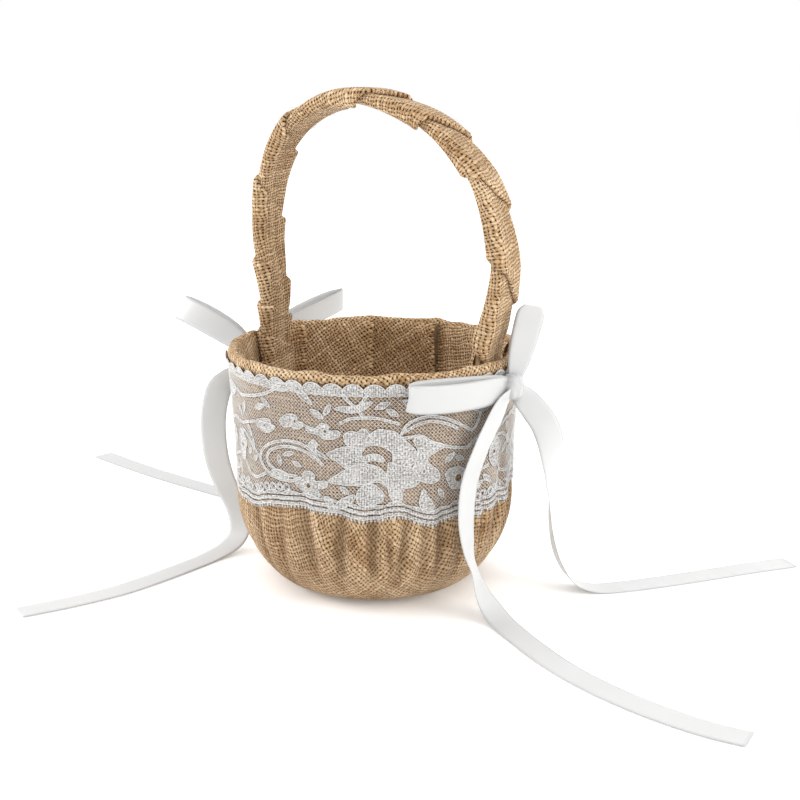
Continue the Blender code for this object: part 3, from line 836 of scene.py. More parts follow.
# %% Outlines of one repeat, in millimetres along and up the band
REPEAT, REPEATS, LACE_HEIGHT = 134.0, 3, 58.6
ROSE = {
    "petal_a": [
        (50, 36.8), (52.7, 39.1), (55.6, 38.7), (58.5, 40.3), (60.4, 38.2), (61.3, 35.2),
        (59, 32.4), (57.2, 29.6), (53.1, 31.9), (50.8, 33.7),
    ],
    "petal_b": [
        (60.7, 37.6), (64.1, 39.9), (67.6, 39.5), (71.3, 38.6), (75.4, 34.8), (78.8, 31.5),
        (80.6, 28.2), (78.3, 23.5), (73.5, 20), (70.2, 22.7), (70.2, 27.1), (69.9, 29.5),
        (66.4, 32.1), (62.4, 33), (59.5, 32.7), (58.9, 35.2),
    ],
    "petal_c": [
        (78.7, 34.5), (81.4, 36.1), (84.2, 35), (84.9, 32.8), (89, 32.8), (93.4, 30.5),
        (88.8, 28.3), (85.3, 25.9), (87, 22.9), (90.5, 19.9), (91.2, 16.3), (88.1, 14.7),
        (84.2, 15.6), (81, 17.5), (78.9, 22.2), (80.7, 27), (80.6, 30.7),
    ],
    "petal_d": [
        (68.4, 25.3), (72.9, 23.9), (78.3, 22.8), (81.2, 19.4), (81.9, 16.2), (78.6, 13.9),
        (74.9, 13.2), (74.1, 7.8), (70.1, 8.7), (68.2, 13.9), (67.6, 19),
    ],
    "petal_e": [
        (58.2, 24.7), (61.7, 24.4), (65.2, 22.8), (68.2, 19), (68.2, 14.5), (65.2, 16.5),
        (61.1, 16.4), (57.5, 15.2), (53.3, 16), (54.6, 20.2),
    ],
    "petal_f": [
        (58.7, 16), (62.3, 15.8), (65.2, 13.7), (66.8, 10.7), (64.9, 7.9), (61, 6.3), (56.7, 6.6),
        (55, 10), (56, 13.6),
    ],
    "petal_g": [
        (42.7, 28.1), (47.2, 31.1), (52, 32.4), (56.9, 31.3), (57.5, 27.2), (60.3, 23.8),
        (58.8, 20.9), (55.3, 22.8), (51.2, 22.6), (47.1, 25.5),
    ],
    "petal_h": [
        (42.8, 16.1), (48.7, 21), (55.4, 24.5), (59.2, 24), (63.5, 22.5), (64.7, 19.1),
        (61.1, 16.6), (55.8, 15.7), (50.3, 15.3),
    ],
    "heart": [
        (58.6, 28.4), (61.8, 29.3), (65, 28.7), (67, 26.5), (65.2, 25.6), (62.3, 26.6), (60, 25.8),
        (56.5, 26.5), (55.2, 27.7), (57.1, 28.5),
    ],
}
SPRIGS = {
    "blossom_a": [
        (20.2, 40.1), (22.5, 42.4), (26.3, 44), (29.4, 43.3), (29.7, 41.5), (32.4, 40.6),
        (31.3, 38.5), (28.1, 37.5), (26, 38.5), (23.8, 37.6), (21.2, 38.2),
    ],
    "blossom_b": [
        (39, 40.1), (41.4, 41.8), (44.1, 40.5), (43.7, 38.7), (48, 39), (48.6, 36.9), (45.5, 35.2),
        (41.8, 35), (39.3, 36.5), (34.8, 37.2), (33.6, 38.9), (37.5, 38.4),
    ],
    "blossom_c": [
        (5.3, 37.2), (10.6, 39.5), (14.7, 39.7), (15.8, 37.7), (17.8, 37.2), (15.6, 34.6),
        (11.4, 33.4), (8.7, 34.8), (5.7, 35.4),
    ],
    "bud": [
        (34.3, 31), (36.7, 34.1), (38.9, 32.4), (37.9, 30.2), (41.3, 28.1), (43.4, 26.4),
        (40.3, 27), (36.5, 28.8),
    ],
    "tie_leaf": [
        (13.6, 16.4), (19, 18.2), (23.6, 16.2), (22.2, 13.8), (17.7, 13.6),
    ],
    "blossom_d": [
        (27.3, 15.8), (30.3, 16.6), (31.2, 19), (34, 19.8), (36.6, 18.8), (36.8, 15.9),
        (42.3, 16.5), (42.1, 13.6), (38.2, 12.6), (39.3, 9.5), (35.1, 8), (31.8, 9.1), (29.1, 11.3),
        (26.7, 12.8),
    ],
    "fork_leaf_a": [
        (40.9, 9.4), (43.5, 9.4), (45.3, 6.2), (45.6, 3), (43, 4.6),
    ],
    "fork_leaf_b": [
        (45.6, 3.4), (46.7, 7.4), (50.7, 10.2), (54.3, 11.4), (53.8, 8.7), (49.4, 5),
    ],
    "top_leaf_a": [
        (17, 53.3), (20.3, 56), (24.9, 57.4), (28.7, 57.1), (26.9, 55.1), (22.5, 53),
    ],
    "top_leaf_b": [
        (28.7, 57.1), (31.7, 56.3), (34.8, 53), (37.3, 49.3), (33.4, 50.8), (29.9, 54),
    ],
    "top_leaf_c": [
        (46.4, 48.2), (49.9, 49.6), (54, 49.6), (58.6, 51.2), (62.2, 51.8), (59.1, 48.6),
        (55.1, 47), (51.1, 46.9),
    ],
    "border_leaf": [
        (82.6, 11), (84, 12.4), (85.8, 9), (88.7, 4.6), (86.2, 1.4), (82.4, 4.6), (81.8, 8),
    ],
    "round_blossom": [
        (93.9, 17.2), (96, 19.8), (100.4, 20.2), (104.3, 18.1), (105.1, 14.1), (102, 10.6),
        (96.6, 11.6),
    ],
    "side_leaf_a": [
        (119, 28.3), (123.4, 29.4), (128.3, 24.8), (126.3, 21.4), (125.4, 16.6), (121.2, 16.5),
        (118.2, 22.1),
    ],
    "side_leaf_b": [
        (106, 44.6), (112.9, 49.6), (120.4, 48.1), (117.5, 44.6), (110.8, 42.6),
    ],
    "side_leaf_c": [
        (108.8, 26.2), (112.8, 29.4), (114.5, 24.3), (111.6, 20.5), (108.6, 22),
    ],
}
LEAVES = [  # middle, length, half width, turn in degrees
    (9, 44.5, 7, 1.3, 20), (13, 46.8, 6, 1.1, -35), (39, 45.5, 7, 1.3, 150), (43.5, 47.5, 6, 1.1, 60),
    (66, 50, 7, 1.3, 25), (70, 47, 6, 1.2, -30), (77, 50.5, 7, 1.3, 150), (82, 48.5, 6, 1.1, 35),
    (90, 50, 7, 1.3, 10), (97, 47.5, 7, 1.3, -25), (104, 50, 6, 1.2, 30), (24, 26, 6, 1.0, 20),
    (28, 22, 5, 1.0, -20), (19, 22.5, 5, 1.0, 100), (50, 13, 5, 1.1, -40), (96, 25, 6, 1.2, 40),
    (101, 24, 5, 1.0, -20), (112, 10, 7, 1.3, 20), (117, 12, 6, 1.2, -40), (127, 7.5, 6, 1.2, 30),
    (129, 41, 7, 1.3, 60), (124, 38.5, 6, 1.1, 130), (132, 22, 5, 1.0, 45), (2, 26, 6, 1.2, 80),
    (3, 20, 5, 1.1, 40), (0, 31.5, 6, 1.1, 120), (71, 11, 4, 1.0, 60), (92, 10, 5, 1.1, 120),
]
BUBBLES = [0, 3.7, 7.4, 11.1, 14.8, 18.5, 22.2, 108, 111.7, 115.4, 119.1, 122.8, 126.5, 130.2]
BUBBLE_RISE, BUBBLE_RADIUS, BUBBLE_HOLE = 9.2, 1.75, 0.75
HOLES = [(28.2, 40.9, 0.75), (42.3, 38.3, 0.8), (11.6, 36.6, 0.7), (33.6, 13.4, 1.3), (100.6, 15.2, 1.9),
         (122.2, 22.6, 1.1)]
VINES = [
    [(39.6, 24.7), (37.1, 27.6), (31.9, 31), (23.4, 31.7), (14.3, 29), (8.7, 24.7), (7.5, 20.6),
     (10.8, 16.8), (16, 14.4), (24.1, 14), (29.5, 16.2)],
    [(40.8, 23.7), (36.4, 26.3), (31.8, 28.5), (23.3, 29.2), (15.8, 26.9), (12.4, 23.6), (12.4, 20.4),
     (16.4, 17.7), (22.1, 16.5), (27.4, 16.5)],
    [(32.4, 40), (34.9, 39.1), (38.8, 38.5)],
    [(5.9, 48.6), (13.3, 50.9), (19.4, 54)],
    [(48.9, 42.1), (52.2, 44.1), (56.8, 44.8), (64.2, 44.6), (73, 42)],
    [(49.4, 55.3), (52.9, 51.3), (56, 48.4), (57.9, 45.4)],
    [(62, 57.5), (59.1, 53.3), (55.7, 48.4)],
    [(73.7, 37.3), (75.7, 41.1), (79.2, 43.3), (85.2, 44.4), (92.3, 42.9), (98.6, 39.9), (107.2, 35.1)],
    [(75.1, 38.6), (78.6, 40.4), (82.2, 41.8), (87.2, 42.1), (93.7, 40.2), (99.4, 37.3)],
    [(74, 35.8), (78.1, 36.1), (82.3, 36.1), (87.4, 32.8), (92.7, 30.7), (98.3, 29.1), (105.1, 28.1)],
    [(105.1, 28.1), (110, 32), (116, 34), (124, 33), (131, 35), (139.3, 37.2)],
    [(107.2, 35.1), (110, 39.5), (111.5, 44)],
    [(124, 30), (130, 29), (136, 25), (141.5, 21)],
    [(126, 16), (131, 12), (137, 11.5), (144.8, 15)],
    [(104.9, 13), (111, 15.5), (118, 18)],
    [(120, 48), (127, 46.5), (134, 47.5), (140, 48.6)],
]
VINE_HALF_WIDTH = 0.55
EDGE_KNOTS = [(0, -4.0), (10, 0.2), (28.5, 2.4), (47.5, 1.2), (60.9, -1.9), (71.5, 1.3), (87.7, -5.4),
              (101, -1.7), (111, -5.2), (122, -2.4)]
BORDER_TOP, BORDER_LINES, LINE_HALF = 6.6, (3.1, 5.5), 0.30
BORDER_WAVE, BORDER_WAVES = 1.1, 14
PICOT_PITCH, PICOT_HALF, PICOT_TOP = REPEAT / 80, 0.30, 1.5
BEAD_RADIUS, BEAD_HEIGHT = 0.56, 0.5
SCALLOP_PITCH, SCALLOP_RADIUS, SCALLOP_MIDDLE = REPEAT / 16, 4.75, 54.4


# %% Lines and distances of the drawing
def lower_edge(u):
    """The height of the band's lower edge along it: a wave that repeats."""
    marks = np.array([k[0] for k in EDGE_KNOTS])
    level = np.array([k[1] for k in EDGE_KNOTS])
    marks = np.concatenate([marks - REPEAT, marks, marks + REPEAT])
    level = np.tile(level, 3)
    spread = np.linspace(-3.5, 3.5, 9)
    return np.mean([np.interp(np.mod(u, REPEAT) + d, marks, level) for d in spread], axis=0)


def border_top(u):
    """The height of the border's wavy top over the lower edge."""
    return BORDER_TOP + BORDER_WAVE * np.abs(np.sin(math.pi * u / (REPEAT / BORDER_WAVES)))


def from_middle(u, pitch):
    """How far along a point is from the middle of its picot or scallop."""
    return np.mod(u, pitch) - pitch / 2


def closed_curve(points, steps=5):
    """A smooth closed outline through the points."""
    p = np.asarray(points, float)
    p = np.vstack([p[-2:], p, p[:2]])
    return smooth_route(p, steps)[2 * steps : -2 * steps]


def line_distance(u, v, route):
    """The distance from each point to a route."""
    nearest = np.full(u.shape, 1e9)
    for (ax, ay), (bx, by) in zip(route[:-1], route[1:]):
        dx, dy = bx - ax, by - ay
        t = np.clip(((u - ax) * dx + (v - ay) * dy) / max(dx * dx + dy * dy, 1e-9), 0, 1)
        nearest = np.minimum(nearest, (u - ax - t * dx) ** 2 + (v - ay - t * dy) ** 2)
    return np.sqrt(nearest)


def outline_depth(u, v, curve):
    """How far each point is inside a closed outline (negative outside). A point is inside when
    a level ray from it crosses the outline an odd number of times."""
    route = np.vstack([curve, curve[:1]])
    inside = np.zeros(u.shape, bool)
    for (ax, ay), (bx, by) in zip(route[:-1], route[1:]):
        dx, dy = bx - ax, by - ay
        dy = dy if abs(dy) > 1e-9 else 1e-9
        inside ^= ((ay > v) != (by > v)) & (u < dx * (v - ay) / dy + ax)
    return np.where(inside, 1, -1) * line_distance(u, v, route)


# %% The depth of cloth at every point of the drawing
GRID_COUNT = 268
GRID = REPEAT / GRID_COUNT
grid_u = np.arange(GRID_COUNT + 1) * GRID
grid_v = np.arange(-16, 122) * GRID
U, V = np.meshgrid(grid_u, grid_v)
outlines = [closed_curve(p) for p in list(ROSE.values()) + list(SPRIGS.values())]
for x, y, length, half_width, turn in LEAVES:
    a = math.radians(turn)
    tip = np.array([math.cos(a), math.sin(a)]) * length / 2
    aside = np.array([-math.sin(a), math.cos(a)]) * half_width
    front = [aside - 0.25 * tip, aside * 0.9 + 0.3 * tip]
    back = [-aside * 0.9 + 0.3 * tip, -aside - 0.25 * tip]
    outlines.append(closed_curve([(x, y) + p for p in [-tip] + front + [tip] + back], 4))
BUBBLE_PLACES = [(x, float(lower_edge(np.array(float(x)))) + BUBBLE_RISE) for x in BUBBLES]
vine_lines = [smooth_route(p, 5) for p in VINES]


def copies(curve, margin=3):
    """The curve's neighbourhood in this repeat and in the ones on both sides."""
    for shift in (-REPEAT, 0, REPEAT):
        start, end = curve[:, 0].min() + shift - margin, curve[:, 0].max() + shift + margin
        near = (U > start) & (U < end)
        yield near, U[near] - shift, V[near]


depth = np.full(U.shape, -1e9)
for curve in outlines:
    for near, u, v in copies(curve):
        depth[near] = np.maximum(depth[near], outline_depth(u, v, curve))
for route in vine_lines:
    for near, u, v in copies(route):
        depth[near] = np.maximum(depth[near], VINE_HALF_WIDTH - line_distance(u, v, route))
for x, y in BUBBLE_PLACES:
    away = np.hypot(U - x, V - y)
    depth = np.maximum(depth, np.minimum(BUBBLE_RADIUS - away, away - BUBBLE_HOLE))
for x, y, r in HOLES:
    depth = np.minimum(depth, np.hypot(U - x, V - y) - r)

# %% The border below and the scallops above
above_edge = V - lower_edge(U)
border = np.minimum(above_edge - PICOT_TOP, border_top(U) - above_edge)
for level in BORDER_LINES:
    border = np.minimum(border, np.abs(above_edge - level) - LINE_HALF)
picot_x = from_middle(U, PICOT_PITCH)
picot = np.minimum(above_edge, PICOT_TOP + 0.3 - above_edge)
picot = np.minimum(PICOT_HALF - np.abs(picot_x), picot)
picot = np.maximum(picot, BEAD_RADIUS - np.hypot(picot_x, above_edge - BEAD_HEIGHT))
disc = np.hypot(from_middle(U, SCALLOP_PITCH), V - SCALLOP_MIDDLE)
scallop = np.minimum(SCALLOP_RADIUS - disc, V - SCALLOP_MIDDLE - 0.2)
scallop = np.maximum(scallop, 1.2 - np.abs(V - SCALLOP_MIDDLE - 0.6))
depth = np.maximum(np.maximum(depth, border), np.maximum(picot, scallop))
depth = np.minimum(depth, above_edge + 0.2)
print("cloth share of the band", round(float((depth > 0).mean()), 2), "outlines", len(outlines))

# %% The drawing's place on the wall
LACE_MIDDLE_U, LACE_MIDDLE_DEGREES = 67.0, -53.5
DEGREES_PER_MM = 360 / (REPEATS * REPEAT)
LACE_FOOT, LACE_SCALE = 46.0, 0.99
LACE_DRAPE = 0.25  # the band stands off the burlap by up to that much, in slow waves
HEM_STEP, HEM_STEP_START, HEM_STEP_WIDTH = 1.0, 100.8, 2.4  # its top climbs on the hem


def lace_place(u, v, lift):
    """A point of the flat drawing on the wall, lift millimetres off the cover's cloth."""
    degrees = LACE_MIDDLE_DEGREES + (u - LACE_MIDDLE_U) * DEGREES_PER_MM
    z = LACE_FOOT + v * LACE_SCALE
    drape = 0.5 * (1 + np.sin(degrees * 0.21 + z * 0.06)) * LACE_DRAPE
    hem_step = HEM_STEP * rising(z, HEM_STEP_START, HEM_STEP_WIDTH)
    r = wall_radius(z) + np.maximum(gathers(degrees, z), -0.5) + lift + drape + hem_step
    return round_points(r, np.radians(degrees), z)


# %% Dense parts: a mesh cut along the zero line
LACE_LIFT = 0.45
LEAST_CUT = 0.06  # a cut stays that share of a cell away from the corners


def cut_cells(depth):
    """Polygons of the grid's cells where depth is positive, cut at zero. Gives flat points and
    faces. Corners and cuts are shared, so the cloth is one mesh."""
    rows, columns = depth.shape
    places, points, faces = {}, [], []

    def number(key, u, v):
        if key not in places:
            places[key] = len(points)
            points.append((u, v))
        return places[key]

    positive = depth > 0
    busy = positive[:-1, :-1] | positive[1:, :-1] | positive[:-1, 1:] | positive[1:, 1:]
    for r, c in zip(*np.nonzero(busy)):
        corners = [(r, c), (r, c + 1), (r + 1, c + 1), (r + 1, c)]
        face = []
        for k in range(4):
            here, there = corners[k], corners[(k + 1) % 4]
            d0, d1 = depth[here], depth[there]
            if d0 > 0:
                face.append(number(here, grid_u[here[1]], grid_v[here[0]]))
            if (d0 > 0) != (d1 > 0):
                t = min(max(d0 / (d0 - d1), LEAST_CUT), 1 - LEAST_CUT)
                key = (min(here, there), max(here, there))
                u = grid_u[here[1]] + t * (grid_u[there[1]] - grid_u[here[1]])
                v = grid_v[here[0]] + t * (grid_v[there[0]] - grid_v[here[0]])
                face.append(number(key, u, v))
        if len(face) > 2:
            faces.append(face)
    return np.array(points), faces


flat_points, flat_faces = cut_cells(depth)
count = len(flat_points)
all_uv = np.vstack([flat_points + [k * REPEAT, 0] for k in range(REPEATS)])
all_faces = [[i + k * count for i in face] for k in range(REPEATS) for face in flat_faces]
places = lace_place(all_uv[:, 0], all_uv[:, 1], LACE_LIFT)
loop_uv = all_uv[np.concatenate([np.array(f) for f in all_faces])]
lace = finish_mesh("lace_cloth", places, all_faces, loop_uv)
print("lace cloth faces", len(all_faces))
settle(lace, "lace_band")

# %% [markdown]
# ## Threads that follow lines: one Geometry Nodes tool
#
# The lace's cords and its net are the same thing at two sizes: a round thread along every
# edge of a wire drawing. The tool turns a mesh's edges into curves, sweeps a small circle
# along them and gives the result a material. Its inputs are named, and the script sets them
# before the first evaluation. The finished threads become a plain mesh.


# %% The thread tool
def new_tool(name, inputs):
    """An empty Geometry Nodes group with a Geometry input and output and the named inputs."""
    tree = bpy.data.node_groups.new(name, "GeometryNodeTree")
    tree.interface.new_socket("Geometry", in_out="INPUT", socket_type="NodeSocketGeometry")
    for label, kind, low, high in inputs + [("Material", "NodeSocketMaterial", None, None)]:
        socket = tree.interface.new_socket(label, in_out="INPUT", socket_type=kind)
        if low is not None:
            socket.min_value = low
            socket.max_value = high
    tree.interface.new_socket("Geometry", in_out="OUTPUT", socket_type="NodeSocketGeometry")
    return tree, tree.nodes.new("NodeGroupInput").outputs


def end_tool(tree, geometry, given):
    """Every tool ends the same way: real geometry, smooth, with the material on it."""
    real = add(tree, "GeometryNodeRealizeInstances", {"Geometry": geometry})
    smooth = add(tree, "GeometryNodeSetShadeSmooth", {"Geometry": real.outputs["Geometry"]})
    painted = {"Geometry": smooth.outputs["Geometry"], "Material": given["Material"]}
    paint = add(tree, "GeometryNodeSetMaterial", painted)
    add(tree, "NodeGroupOutput", {"Geometry": paint.outputs["Geometry"]})
    return tree


def swept(tree, curve, radius, sides):
    """A round thread along a curve."""
    circle = add(tree, "GeometryNodeCurvePrimitiveCircle", {"Radius": radius, "Resolution": sides})
    inputs = {"Curve": curve, "Profile Curve": circle.outputs["Curve"]}
    return add(tree, "GeometryNodeCurveToMesh", inputs).outputs["Mesh"]


def thread_tool():
    """Edges of a wire drawing to round threads."""
    sizes = [
        ("Radius", "NodeSocketFloat", 0.00001, 0.01),
        ("Sides", "NodeSocketInt", 3, 12),
    ]
    tree, given = new_tool("Threads along edges", sizes)
    curve = add(tree, "GeometryNodeMeshToCurve", {"Mesh": given["Geometry"]})
    thread = swept(tree, curve.outputs["Curve"], given["Radius"], given["Sides"])
    return end_tool(tree, thread, given)


def grow(name, source, tree, values):
    """A plain mesh object made by the tool on a source object. The source is removed."""
    modifier = source.modifiers.new("grow", "NODES")
    modifier.node_group = tree
    for item in tree.interface.items_tree:
        if item.in_out == "INPUT" and item.name in values:
            modifier[item.identifier] = values[item.name]
    graph = bpy.context.evaluated_depsgraph_get()
    shown = source.evaluated_get(graph)
    mesh = bpy.data.meshes.new_from_object(shown, preserve_all_data_layers=True, depsgraph=graph)
    mesh.name = name
    piece = bpy.data.objects.new(name, mesh)
    scene.collection.objects.link(piece)
    bpy.data.objects.remove(source, do_unlink=True)
    settle(piece)
    print(name, "faces", len(mesh.polygons))
    return piece


def wire_drawing(name, points, edges):
    """A mesh of loose edges, its points in millimetres."""
    mesh = bpy.data.meshes.new(name)
    places = (np.asarray(points) * MM).tolist()
    mesh.from_pydata(places, [(int(i), int(j)) for i, j in edges], [])
    wire = bpy.data.objects.new(name, mesh)
    scene.collection.objects.link(wire)
    return wire


tool_threads = thread_tool()
lace_thread_material = bpy.data.materials.new("lace_thread_cotton")
print("tool inputs", [i.name for i in tool_threads.interface.items_tree])

# %% Cords round the petals, leaves and vines
CORD_RADIUS, CORD_SIDES, CORD_LIFT, CORD_STEP = 0.13, 5, 0.56, 0.95
VINE_CORD_OFFSET = 0.5
RING_POINTS = 8
BORDER_CORD = 4.1  # height of the cord between the border's two slits


def even_route(route, step, closed=False):
    """The same line with points an even distance apart."""
    r = np.vstack([route, route[:1]]) if closed else np.asarray(route)
    d = run_length(r)
    n = max(int(round(d[-1] / step)), 3)
    at = np.linspace(0, d[-1], n + 1)
    at = at[:-1] if closed else at
    return np.stack([np.interp(at, d, r[:, k]) for k in range(r.shape[1])], -1)


flat_routes = [(even_route(c, CORD_STEP, True), True) for c in outlines]
for route in vine_lines:
    way = unit(np.gradient(route, axis=0))
    aside = np.stack([-way[:, 1], way[:, 0]], -1) * VINE_CORD_OFFSET
    flat_routes.append((even_route(route + aside, CORD_STEP), False))
    flat_routes.append((even_route(route - aside, CORD_STEP), False))
ring = np.linspace(0, math.tau, RING_POINTS + 1)[:-1]
for x, y, r in HOLES + [(x, y, BUBBLE_RADIUS) for x, y in BUBBLE_PLACES]:
    flat_routes.append((np.stack([x + r * np.cos(ring), y + r * np.sin(ring)], -1), True))
u = np.arange(0, REPEAT + 0.01, 0.5)
arc = from_middle(u, SCALLOP_PITCH)
scallop_top = SCALLOP_MIDDLE + np.sqrt(np.clip(SCALLOP_RADIUS**2 - arc**2, 0, None))
scallop_foot = SCALLOP_MIDDLE - 0.5 + 0.25 * np.sin(u * 1.9)
flat_routes += [(np.stack([u, top], -1), False) for top in (scallop_top, scallop_foot)]
u = np.arange(0, REPEAT + 0.01, 1.0)
for above in (border_top(u), PICOT_TOP, BORDER_CORD):
    flat_routes.append((np.stack([u, lower_edge(u) + above], -1), False))

points, edges = [], []
for k in range(REPEATS):
    for route, closed in flat_routes:
        start, n = len(points), len(route)
        points.extend(lace_place(route[:, 0] + k * REPEAT, route[:, 1], CORD_LIFT))
        edges.extend((start + k, start + k + 1) for k in range(n - 1))
        if closed:
            edges.append((start + n - 1, start))
lace_cords = grow(
    "lace_cords",
    wire_drawing("cord_lines", points, edges),
    tool_threads,
    {"Radius": CORD_RADIUS * MM, "Sides": CORD_SIDES, "Material": lace_thread_material},
)
print("cord lines", REPEATS * len(flat_routes))

# %% The diamond net between them
NET_COUNT = 80
NET_PITCH = REPEAT / NET_COUNT
NET_RADIUS, NET_SIDES, NET_LIFT = 0.095, 3, 0.4
NET_OVERLAP = 0.35  # the net runs that far under the dense parts
NET_FOOT, NET_HEIGHT = -4.0, 62
NET_SWAY = 0.10
around = NET_COUNT * REPEATS

rows = int(NET_HEIGHT / (NET_PITCH / 2))
r, c = np.mgrid[0:rows, 0:around]
net_u = (c + 0.5 * (r % 2)) * NET_PITCH
net_v = NET_FOOT + r * NET_PITCH / 2
net_u = net_u + NET_SWAY * np.sin(net_v * 1.3 + net_u * 0.7)
fold_u = np.mod(net_u, REPEAT)
pick_c = np.clip(np.round(fold_u / GRID).astype(int), 0, len(grid_u) - 1)
pick_r = np.clip(np.round((net_v - grid_v[0]) / GRID).astype(int), 0, len(grid_v) - 1)
open_here = (depth[pick_r, pick_c] < NET_OVERLAP) & (net_v < SCALLOP_MIDDLE)
open_here &= net_v - lower_edge(fold_u) > BORDER_TOP - 0.3
for x, y, radius in HOLES:
    open_here &= np.hypot(fold_u - x, net_v - y) >= radius

# A knot of the net is tied to the two knots above it, where both are in the open.
number = r * around + c
above = np.minimum(r + 1, rows - 1)
pairs = []
for step in (0, 1):
    beside = (c + np.where(r % 2 == 1, step, step - 1)) % around
    keep = open_here & open_here[above, beside] & (r < rows - 1)
    pairs.append(np.stack([number[keep], number[above, beside][keep]], -1))
used, pairs = np.unique(np.concatenate(pairs), return_inverse=True)
pairs = pairs.reshape(-1, 2)
lace_net = grow(
    "lace_net",
    wire_drawing("net_lines", lace_place(net_u.ravel()[used], net_v.ravel()[used], NET_LIFT), pairs),
    tool_threads,
    {"Radius": NET_RADIUS * MM, "Sides": NET_SIDES, "Material": lace_thread_material},
)
print("net threads", len(pairs))

# %% [markdown]
# ## Loose jute fibres
#
# Burlap is hairy. A few hundred short stray fibres stand off the cloth, most of them on the
# hem and the handle, where the cloth was folded and rubbed. The tool scatters points on a
# cloth, puts one bent hair on each, and turns and scales each hair by a seeded random value.


# %% The fibre tool
HAIR_POINTS, HAIR_SIDES = 6, 3
HAIR_BEND = {"Start": (-0.5, 0, 0), "Middle": (-0.1, 0.12, 0.32), "End": (0.5, 0.05, 0.08)}
HAIR_TURN_LOW, HAIR_TURN_HIGH = (-0.35, -0.35, 0.0), (0.35, 0.35, math.tau)
HAIR_SCALE = (0.45, 1.25)


def fibre_tool():
    """Points on a cloth to bent hairs."""
    sizes = [
        ("Density", "NodeSocketFloat", 0.0, 1000000.0),
        ("Seed", "NodeSocketInt", 0, 10000),
        ("Length", "NodeSocketFloat", 0.0001, 0.05),
        ("Radius", "NodeSocketFloat", 0.00001, 0.01),
    ]
    tree, given = new_tool("Stray fibres", sizes)
    inputs = {"Mesh": given["Geometry"], "Density": given["Density"], "Seed": given["Seed"]}
    scatter = add(tree, "GeometryNodeDistributePointsOnFaces", inputs)
    hair = add(tree, "GeometryNodeCurveQuadraticBezier", {"Resolution": HAIR_POINTS})
    for label, place in HAIR_BEND.items():
        inputs = {0: place, "Scale": given["Length"]}
        scale = add(tree, "ShaderNodeVectorMath", inputs, operation="SCALE")
        tree.links.new(scale.outputs["Vector"], hair.inputs[label])
    thread = swept(tree, hair.outputs["Curve"], given["Radius"], HAIR_SIDES)
    turn = add(tree, "FunctionNodeRandomValue", data_type="FLOAT_VECTOR")
    turn.inputs["Min"].default_value = HAIR_TURN_LOW
    turn.inputs["Max"].default_value = HAIR_TURN_HIGH
    tree.links.new(given["Seed"], turn.inputs["Seed"])
    inputs = {"Rotation": scatter.outputs["Rotation"], "Rotate By": turn.outputs["Value"]}
    rotate = add(tree, "FunctionNodeRotateEuler", None, rotation_type="EULER", space="LOCAL")
    for label, socket in inputs.items():
        tree.links.new(socket, rotate.inputs[label])
    size = add(tree, "FunctionNodeRandomValue", dict(zip((2, 3), HAIR_SCALE)), data_type="FLOAT")
    inputs = {
        "Points": scatter.outputs["Points"],
        "Instance": thread,
        "Rotation": rotate.outputs["Rotation"],
        "Scale": size.outputs[1],
    }
    put = add(tree, "GeometryNodeInstanceOnPoints", inputs)
    return end_tool(tree, put.outputs["Instances"], given)


# %% Fibres on each cloth
tool_fibres = fibre_tool()
fibre_material = bpy.data.materials.new("jute_fibre")
FIBRE_RADIUS = 0.055
FIBRES = [  # cloth, finish, hairs per square metre, seed, length in millimetres
    (hem, "burlap", 16000.0, 3, 4.2),
    (wrap, "burlap", 7000.0, 7, 4.5),
    (cover, "burlap", 3200.0, 11, 4.0),
    (lining, "burlap_lining", 2200.0, 13, 4.0),
]
for cloth, slot, density, seed, length in FIBRES:
    host = bpy.data.objects.new("host", cloth.data.copy())
    scene.collection.objects.link(host)
    grow(
        cloth.name.replace("burlap", "fibres"),
        host,
        tool_fibres,
        {
            "Density": density,
            "Seed": seed,
            "Length": length * MM,
            "Radius": FIBRE_RADIUS * MM,
            "Material": fibre_material,
        },
    )

# %% [markdown]
# ## Materials: a plain weave made of threads
#
# Burlap is a plain weave of thick uneven jute threads, so the shader builds the threads. It
# takes the cloth's map, splits it into thread numbers across and along, and works out for
# each point how high the upright thread and the level thread are. The higher one shows, and
# where neither is, there is a hole, painted dark as shade; a thread is painted darker as shade
# where it dips under another. Each thread has its own width and tint, and the
# whole map is pushed about a little by noise, so no two squares are alike.
#
# The weave is one node group that gives only values, and each cloth's material colours them.


# %% Shader helpers
def calc(tree, operation, *values):
    """One math node. Gives its output."""
    return add(tree, "ShaderNodeMath", dict(enumerate(values)), operation=operation).outputs[0]


def times(tree, value, factor):
    """A value made larger or smaller."""
    return calc(tree, "MULTIPLY", value, factor)


def centred(tree, value):
    """A value between 0 and 1 moved to lie round zero."""
    return calc(tree, "SUBTRACT", value, 0.5)


def vector(tree, x, y, z=0.0):
    """Three values joined to a vector."""
    return add(tree, "ShaderNodeCombineXYZ", {0: x, 1: y, 2: z}).outputs[0]


def move(tree, operation, inputs):
    """One vector math node. Gives its vector."""
    return add(tree, "ShaderNodeVectorMath", inputs, operation=operation).outputs[0]


def remap(tree, value, low, high, to_low=0.0, to_high=1.0):
    """A value moved from one range to another, and held inside it."""
    inputs = {"Value": value, "From Min": low, "From Max": high, "To Min": to_low, "To Max": to_high}
    return add(tree, "ShaderNodeMapRange", inputs, clamp=True).outputs["Result"]


def noise(tree, place, scale, detail=2.0, rough=0.5):
    """A noise texture's value."""
    inputs = {"Vector": place, "Scale": scale, "Detail": detail, "Roughness": rough}
    return add(tree, "ShaderNodeTexNoise", inputs).outputs[0]


